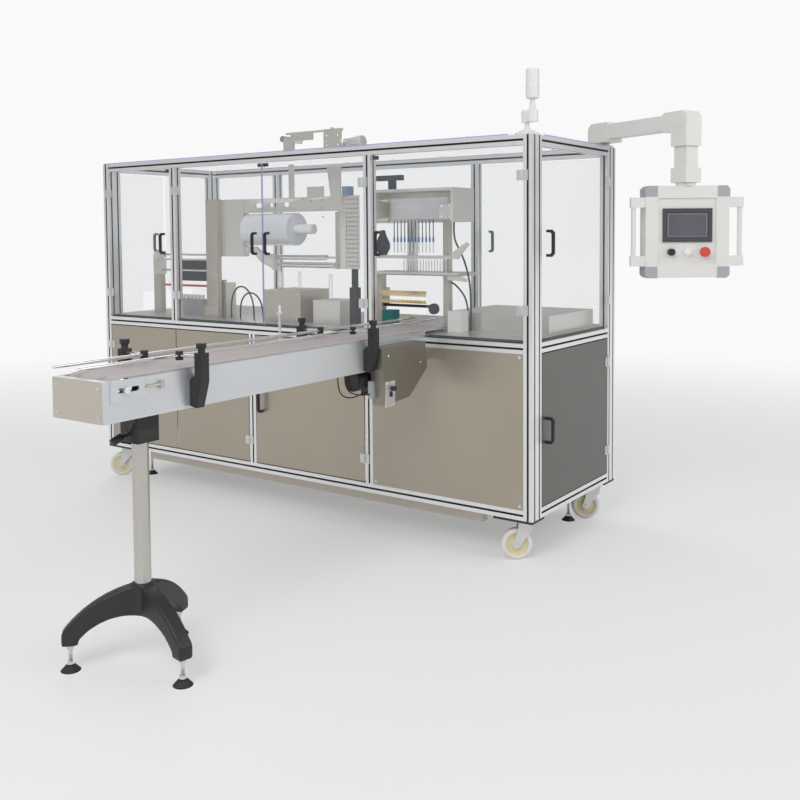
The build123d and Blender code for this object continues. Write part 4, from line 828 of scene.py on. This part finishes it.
def screws(name, spots, radius, height, finish="zinc", body="machine"):
    mesh = pointsMesh(name, [place(*spot) for spot, facing in spots], [facing for spot, facing in spots])
    runTree(name, mesh, screwTree, {
        "Radius": radius / 1000, "Height": height / 1000, "Finish": finishes[finish],
    }, body)


def rows(facing, xs, ys, zs):
    # a spot at each crossing of the given places
    return [((x, y, z), facing) for x in xs for y in ys for z in zs]


toFront, toRight, toLeft, toRear, toTop = (0, -1, 0), (1, 0, 0), (-1, 0, 0), (0, 1, 0), (0, 0, 1)
frameLength, frameDepth = machineMm(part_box("posts")[1]).xy
hingeScrew = {"leaf": (30, 60), "near": 8, "spread": 12, "plate": 3, "radius": 3.4, "height": 1.2}


def leafSpots(node):
    # two screws on each hinge leaf, on the side of the frame that the leaf lies on
    shape = mergedShape(node)
    shortest, tallest = hingeScrew["leaf"]
    near, plate = hingeScrew["near"], hingeScrew["plate"]
    spots = []
    for faces in components(shape):
        low, high = faceBox(faces)
        if not shortest < high.z - low.z < tallest:
            continue
        middle = (low + high) / 2
        if high.y < near and middle.y < 0:
            facing, at = toFront, (middle.x, -plate)
        elif low.y > frameDepth - near:
            facing, at = toRear, (middle.x, frameDepth + plate)
        elif high.x < near:
            facing, at = toLeft, (-plate, middle.y)
        else:
            facing, at = toRight, (frameLength + plate, middle.y)
        for turn in (-1, 1):
            spots.append(((*at, middle.z + turn * hingeScrew["spread"]), facing))
    shape.free()
    return spots


for node in fittingNodes + list(steelDoors) + ["frame_hinge_leaves"]:
    spots = leafSpots(node)
    if spots:
        screws(node + "_screws", spots, hingeScrew["radius"], hingeScrew["height"], body=bodyOf[node])

# Screws of the roof and the fixed front panel
bigScrew = {"radius": 6.5, "height": 2.4}
roofScrews = {"first": 120, "pitch": 305, "last": 130, "inset": 20, "rise": 0.8, "sides": (200, 407, 614)}
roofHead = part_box("roof_sheet")[1].z * 1000 + roofScrews["rise"]
roofCount = int(frameLength // roofScrews["pitch"])
roofXs = [roofScrews["first"] + number * roofScrews["pitch"] for number in range(roofCount)]
roofXs = [x for x in roofXs if x < frameLength - roofScrews["last"]]
roofSpots = rows(toTop, roofXs, (roofScrews["inset"], frameDepth - roofScrews["inset"]), (roofHead,))
for y in roofScrews["sides"]:
    roofSpots += rows(toTop, (roofScrews["inset"], frameLength - roofScrews["inset"]), (y,), (roofHead,))
screws("roof_screws", roofSpots, bigScrew["radius"], bigScrew["height"])
frontSpots = rows(toFront, (1800, 2500), (-0.8,), (232, 820))
screws("front_panel_screws", frontSpots, bigScrew["radius"], bigScrew["height"])

# The conveyor's screws: two groups on both sides, each with its rise over the side and its y and z places
conveyorScrews = {
    "left": 1836, "right": 2062, "radius": 5.0, "height": 2.2,
    "cap": (4.6, ((-1587, 842), (-1587, 893), (-1480, 842), (-1480, 893))),
    "plate": (0.6, (
        (-1500, 800), (-1470, 800), (-1440, 800), (-1360, 800), (-858, 867), (-634, 870), (-200, 800),
    )),
    "end": rows(toFront, (1856, 2042), (-1620.6,), (800, 880)),
}
conveyorSpots = []
for rise, spots in (conveyorScrews["cap"], conveyorScrews["plate"]):
    for y, z in spots:
        conveyorSpots += rows(toRight, (conveyorScrews["right"] + rise,), (y,), (z,))
        conveyorSpots += rows(toLeft, (conveyorScrews["left"] - rise,), (y,), (z,))
screws("conveyor_screws", conveyorSpots, conveyorScrews["radius"], conveyorScrews["height"])
screws("end_cap_screws", conveyorScrews["end"], conveyorScrews["radius"], conveyorScrews["height"])

# The drive box's screws: four round the switch plate and two on the side
boxScrews = {"radius": 4.2, "height": 2.0, "switch": rows(toRight, (2126.8,), (-364, -319), (651, 734))}
boxScrews["side"] = [((2122.8, -128, 791), toRight), ((2122.8, -347, 839), toRight)]
boxSpots = boxScrews["switch"] + boxScrews["side"]
screws("drive_box_screws", boxSpots, boxScrews["radius"], boxScrews["height"], "chrome")

# Screws of the units behind the glass
unitScrew = {"radius": 5.0, "height": 2.0}
beamBolts = ((1280, 1428), (1330, 1427), (1386, 1426), (1386, 1386), (1430, 1425))
unitScrews = {
    "rightPlate": rows(toFront, (1456,), (153.2,), (1586, 1550, 1470)),
    "leftPlate": rows(toFront, (1181,), (171.2,), (1581, 1524)),
    "foldingBracket": rows(toFront, (2046, 2084), (149.4,), (1375, 1419)),
    "roofUnit": rows(toFront, (1312, 1380), (279.2,), (1730, 1775)),
    "lowBox": rows(toFront, (1075, 1262), (109.2,), (905, 1020)),
    "column": rows(toFront, (658, 714), (121.2,), (1100, 1300, 1460)),
    "columnFoot": rows(toFront, (648, 724), (109.2,), (916,)),
    "beamPlate": [((x, 159.2, z), toFront) for x, z in beamBolts],
}
unitSpots = [spot for spots in unitScrews.values() for spot in spots]
screws("unit_screws", unitSpots, unitScrew["radius"], unitScrew["height"], "chrome")
print("screws set")


# Hanging cords of the folding unit, each with a blue tip; a part has its top, its foot and its radius
drops = {
    "first": 1772, "last": 1980, "count": 12, "y": 190, "sides": 8,
    "strand": (1364, 1290, 2.2), "tip": (1290, 1268, 4.2), "end": (1268, 1222, 3.0),
}


def buildDropTree():
    tree, source, result = startTree("hangingDrops", [
        ("Radius", "NodeSocketFloat", 0.002), ("Drop", "NodeSocketFloat", 0.06),
        ("Finish", "NodeSocketMaterial", None),
    ])
    strand = addNode(tree, "GeometryNodeMeshCylinder", {
        "Vertices": drops["sides"], "Radius": source.outputs["Radius"], "Depth": source.outputs["Drop"],
    })
    middle = mathNode(tree, "MULTIPLY", source.outputs["Drop"], -0.5)
    return endTree(tree, source, result, shifted(tree, strand.outputs["Mesh"], middle))


dropTree = buildDropTree()
dropPitch = (drops["last"] - drops["first"]) / (drops["count"] - 1)
dropXs = [drops["first"] + dropPitch * number for number in range(drops["count"])]
for name, part, finish in (
    ("drop_strands", "strand", "blackPlastic"),
    ("drop_tips", "tip", "blueTip"),
    ("drop_ends", "end", "white"),
):
    top, low, radius = drops[part]
    mesh = pointsMesh(name, [place(x, drops["y"], top) for x in dropXs], [toTop] * len(dropXs))
    runTree(name, mesh, dropTree, {
        "Radius": radius / 1000, "Drop": (top - low) / 1000, "Finish": finishes[finish],
    }, "machine")
print("folding cords hung")


def placeMesh(name, mesh, labels, body):
    for label in labels:
        mesh.materials.append(finishes[label])
    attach(addObject(name, mesh), body)


# Plain boxes and strips that only the picture shows
def boxPiece(name, spans, body, finish, bevel=0.0):
    low, high = place(*(span[0] for span in spans)), place(*(span[1] for span in spans))
    shape = bmesh.new()
    bmesh.ops.create_cube(shape, size=1)
    for vertex in shape.verts:
        vertex.co = [(a + b) / 2 + c * (b - a) for a, b, c in zip(low, high, vertex.co)]
    if bevel:
        bmesh.ops.bevel(shape, geom=shape.edges[:], offset=bevel, segments=2, affect="EDGES")
    mesh = bpy.data.meshes.new(name)
    shape.to_mesh(mesh)
    shape.free()
    placeMesh(name, mesh, [finish], body)


# Edges of the clear sheets, which catch the light
sheetEdge = {"thick": 0.6, "roof": (1685, 1689.5), "doorY": (0.2, 4.8), "doorZ": (880, 1638)}
for side, x, y in (
    ("front", (4, 2450), (3 - sheetEdge["thick"], 3)), ("rear", (4, 2460), (811, 811 + sheetEdge["thick"])),
    ("left", (3 - sheetEdge["thick"], 3), (4, 810)), ("right", (2553, 2553 + sheetEdge["thick"]), (104, 715)),
):
    boxPiece(f"roof_edge_{side}", (x, y, sheetEdge["roof"]), "machine", "clearEdge")
for door, x in (("upper_door_2", 1147.4), ("upper_door_3", 1153.0)):
    spans = ((x, x + sheetEdge["thick"]), sheetEdge["doorY"], sheetEdge["doorZ"])
    boxPiece(door + "_edge", spans, door, "clearEdge")

# Catches at the seams between doors
catch = {"y": (5, 17), "z": (1622, 1638), "round": 0.001}
for door, x in (
    ("upper_door_2", (1120, 1146)), ("upper_door_3", (1155, 1181)),
    ("upper_door_1", (484, 510)), ("upper_door_4", (1792, 1818)),
):
    boxPiece(door + "_catch", (x, catch["y"], catch["z"]), door, "blackPlastic", catch["round"])

# A dark sheet close behind the perforated plate, whose dark finish puts painted shade into the holes
boxPiece("perforated_backing_shade", ((1474, 1583), (176.2, 177.6), (1150, 1476)), "machine", "brushedMid")

# Hexagon nuts on the studs of the levelling feet
footNuts = {"stud": 22, "across": 11.5, "height": 9, "drop": 3, "rise": 4}
studShape = mergedShape("levelling_feet")
nutShape = bmesh.new()
for faces in components(studShape):
    low, high = faceBox(faces)
    if high.x - low.x > footNuts["stud"] or high.z - low.z < 2 * footNuts["height"]:
        continue
    middle = (low + high) / 2
    half = footNuts["height"] / 2
    for z in (high.z - footNuts["drop"] - half, low.z + footNuts["rise"] + half):
        nut = bmesh.ops.create_cone(
            nutShape, cap_ends=True, segments=6, radius1=footNuts["across"] / 1000,
            radius2=footNuts["across"] / 1000, depth=footNuts["height"] / 1000)
        for vertex in nut["verts"]:
            vertex.co += place(middle.x, middle.y, z)
studShape.free()
nutMesh = bpy.data.meshes.new("foot_nuts")
nutShape.to_mesh(nutMesh)
nutShape.free()
placeMesh("foot_nuts", nutMesh, ["zinc"], "machine")

# The web of film over the two rods of the folding unit
web = {"x": (1759, 2062), "y": 190, "high": 1455, "low": 1374, "radius": 10.0, "steps": 10}
ring = []
for rod, start in (("high", 0), ("low", 180)):
    for turn in range(web["steps"] + 1):
        angle = radians(start + 180 * turn / web["steps"])
        ring.append((web["y"] - web["radius"] * cos(angle), web[rod] + web["radius"] * sin(angle)))
webMesh = bpy.data.meshes.new("folding_web")
webPoints = [place(x, y, z) for y, z in ring for x in web["x"]]
webFaces = [
    (2 * n, 2 * n + 1, (2 * n + 3) % len(webPoints), (2 * n + 2) % len(webPoints)) for n in range(len(ring))
]
webMesh.from_pydata(webPoints, [], webFaces)
placeMesh("folding_web", webMesh, ["webFilm"], "machine")
webStops = {"left": (1744, 1758), "right": (2063, 2077), "half": 12, "round": 0.003}
for side in ("left", "right"):
    for level in ("high", "low"):
        spans = [(at - webStops["half"], at + webStops["half"]) for at in (web["y"], web[level])]
        boxPiece(f"web_stop_{side}_{level}", (webStops[side], *spans), "machine", "brass", webStops["round"])

# What the screen shows: a dark field inside a thin pale line
screenShows = {"top": 1376.5, "across": 79, "from": -1, "to": 91, "line": 2.2, "front": 28.2}
faceNormal = Vector((sin(panelTurn), -cos(panelTurn), 0))


def screenRing(inset):
    wide, top, foot = screenShows["across"] - inset, screenShows["from"] + inset, screenShows["to"] - inset
    ring = []
    for across, drop in ((-wide, top), (wide, top), (wide, foot), (-wide, foot)):
        at = panelCentre + panelAcross * across + faceNormal * screenShows["front"]
        ring.append(place(at.x, at.y, screenShows["top"] - drop))
    return ring


fieldMesh = bpy.data.meshes.new("screen_field")
lineFaces = [(n, 4 + n, 4 + (n + 1) % 4, (n + 1) % 4) for n in range(4)]
fieldMesh.from_pydata(screenRing(0) + screenRing(screenShows["line"]), [], lineFaces + [(4, 7, 6, 5)])
fieldMesh.polygons[4].material_index = 1
placeMesh("screen_field", fieldMesh, ["screenPale", "screen"], "panel")
for line in cordObjects:
    line.data.materials.append(finishes["blackPlastic"])
print("small pieces added")


# Floor, backdrop and light
studio = {
    "floor": 0.84, "floorRough": 0.8, "floorHalf": 60, "sky": 0.95,
    "fadeFrom": 2.2, "fadeTo": 7.5, "fadeLow": 0.35, "glow": 0.55,
    "skyLow": (0.42, (0.30, 0.30, 0.31, 1)), "skyHigh": (0.85, (1.0, 1.0, 1.0, 1)),
}
skyColour = (studio["sky"],) * 3 + (1,)
floorMaterial, floorTree, floorShader = startMaterial("paleFloor")
floorShader.inputs["Base Color"].default_value = (studio["floor"],) * 3 + (1,)
floorShader.inputs["Roughness"].default_value = studio["floorRough"]
glow = addNode(floorTree, "ShaderNodeEmission", {"Color": skyColour})
rays = floorTree.nodes.new("ShaderNodeLightPath")
seenFloor = mathNode(floorTree, "MAXIMUM", rays.outputs["Is Camera Ray"], rays.outputs["Is Glossy Ray"])
seenFloor = mathNode(floorTree, "MAXIMUM", seenFloor, rays.outputs["Is Transmission Ray"])
floorPlace = floorTree.nodes.new("ShaderNodeTexCoord")
reach = addNode(floorTree, "ShaderNodeVectorMath", {0: floorPlace.outputs["Object"]}, operation="LENGTH")
fade = addNode(floorTree, "ShaderNodeMapRange", {       # the floor runs out into the backdrop
    "From Min": studio["fadeFrom"], "From Max": studio["fadeTo"], "To Min": studio["fadeLow"], "To Max": 1.0,
    "Value": reach.outputs["Value"],
}, interpolation_type="SMOOTHSTEP")
seenFloor = mathNode(floorTree, "MULTIPLY", seenFloor, fade.outputs["Result"])
blendFloor = addNode(floorTree, "ShaderNodeMixShader", {
    "Fac": seenFloor, 1: floorShader.outputs[0], 2: glow.outputs[0],
})
floorTree.links.new(blendFloor.outputs[0], floorTree.nodes["Material Output"].inputs["Surface"])
floorMesh = bpy.data.meshes.new("floor")
far = studio["floorHalf"]
floorCorners = [(-far, -far, 0), (far, -far, 0), (far, far, 0), (-far, far, 0)]
floorMesh.from_pydata(floorCorners, [], [(0, 1, 2, 3)])
floorMesh.materials.append(floorMaterial)
addObject("floor", floorMesh)

world = bpy.data.worlds.new("studio")
bpy.context.scene.world = world
world.use_nodes = True
sky = world.node_tree
direction = sky.nodes.new("ShaderNodeTexCoord")
split = addNode(sky, "ShaderNodeSeparateXYZ", {0: direction.outputs["Generated"]})
height = addNode(sky, "ShaderNodeMath", {0: split.outputs["Z"], 1: 0.5, 2: 0.5}, operation="MULTIPLY_ADD")
ramp = addNode(sky, "ShaderNodeValToRGB", {"Fac": height.outputs[0]})
for element, label in zip(ramp.color_ramp.elements, ("skyLow", "skyHigh")):
    element.position, element.color = studio[label]
back = sky.nodes["Background"]
sky.links.new(ramp.outputs["Color"], back.inputs["Color"])
back.inputs["Strength"].default_value = studio["glow"]
seen = addNode(sky, "ShaderNodeBackground", {"Color": skyColour})
path = sky.nodes.new("ShaderNodeLightPath")
mix = addNode(sky, "ShaderNodeMixShader", {
    "Fac": path.outputs["Is Camera Ray"], 1: back.outputs[0], 2: seen.outputs[0],
})
sky.links.new(mix.outputs[0], sky.nodes["World Output"].inputs["Surface"])

lamps = {
    "key": {"at": (3200, -5200, 4600), "target": (1300, 0, 900), "size": 3.0, "power": 150},
    "fill": {"at": (6500, 800, 3200), "target": (2200, 300, 900), "size": 3.0, "power": 55},
    "rim": {"at": (-2600, 2600, 4200), "target": (1000, 400, 1000), "size": 2.5, "power": 50},
}
for name, lamp in lamps.items():
    lampData = bpy.data.lights.new(name, "AREA")
    lampData.size = lamp["size"]
    lampData.energy = lamp["power"]
    lampObject = addObject(name, lampData)
    start, end = place(*lamp["at"]), place(*lamp["target"])
    lampObject.location = start
    lampObject.rotation_euler = (end - start).to_track_quat("-Z", "Y").to_euler()
print("studio lit")
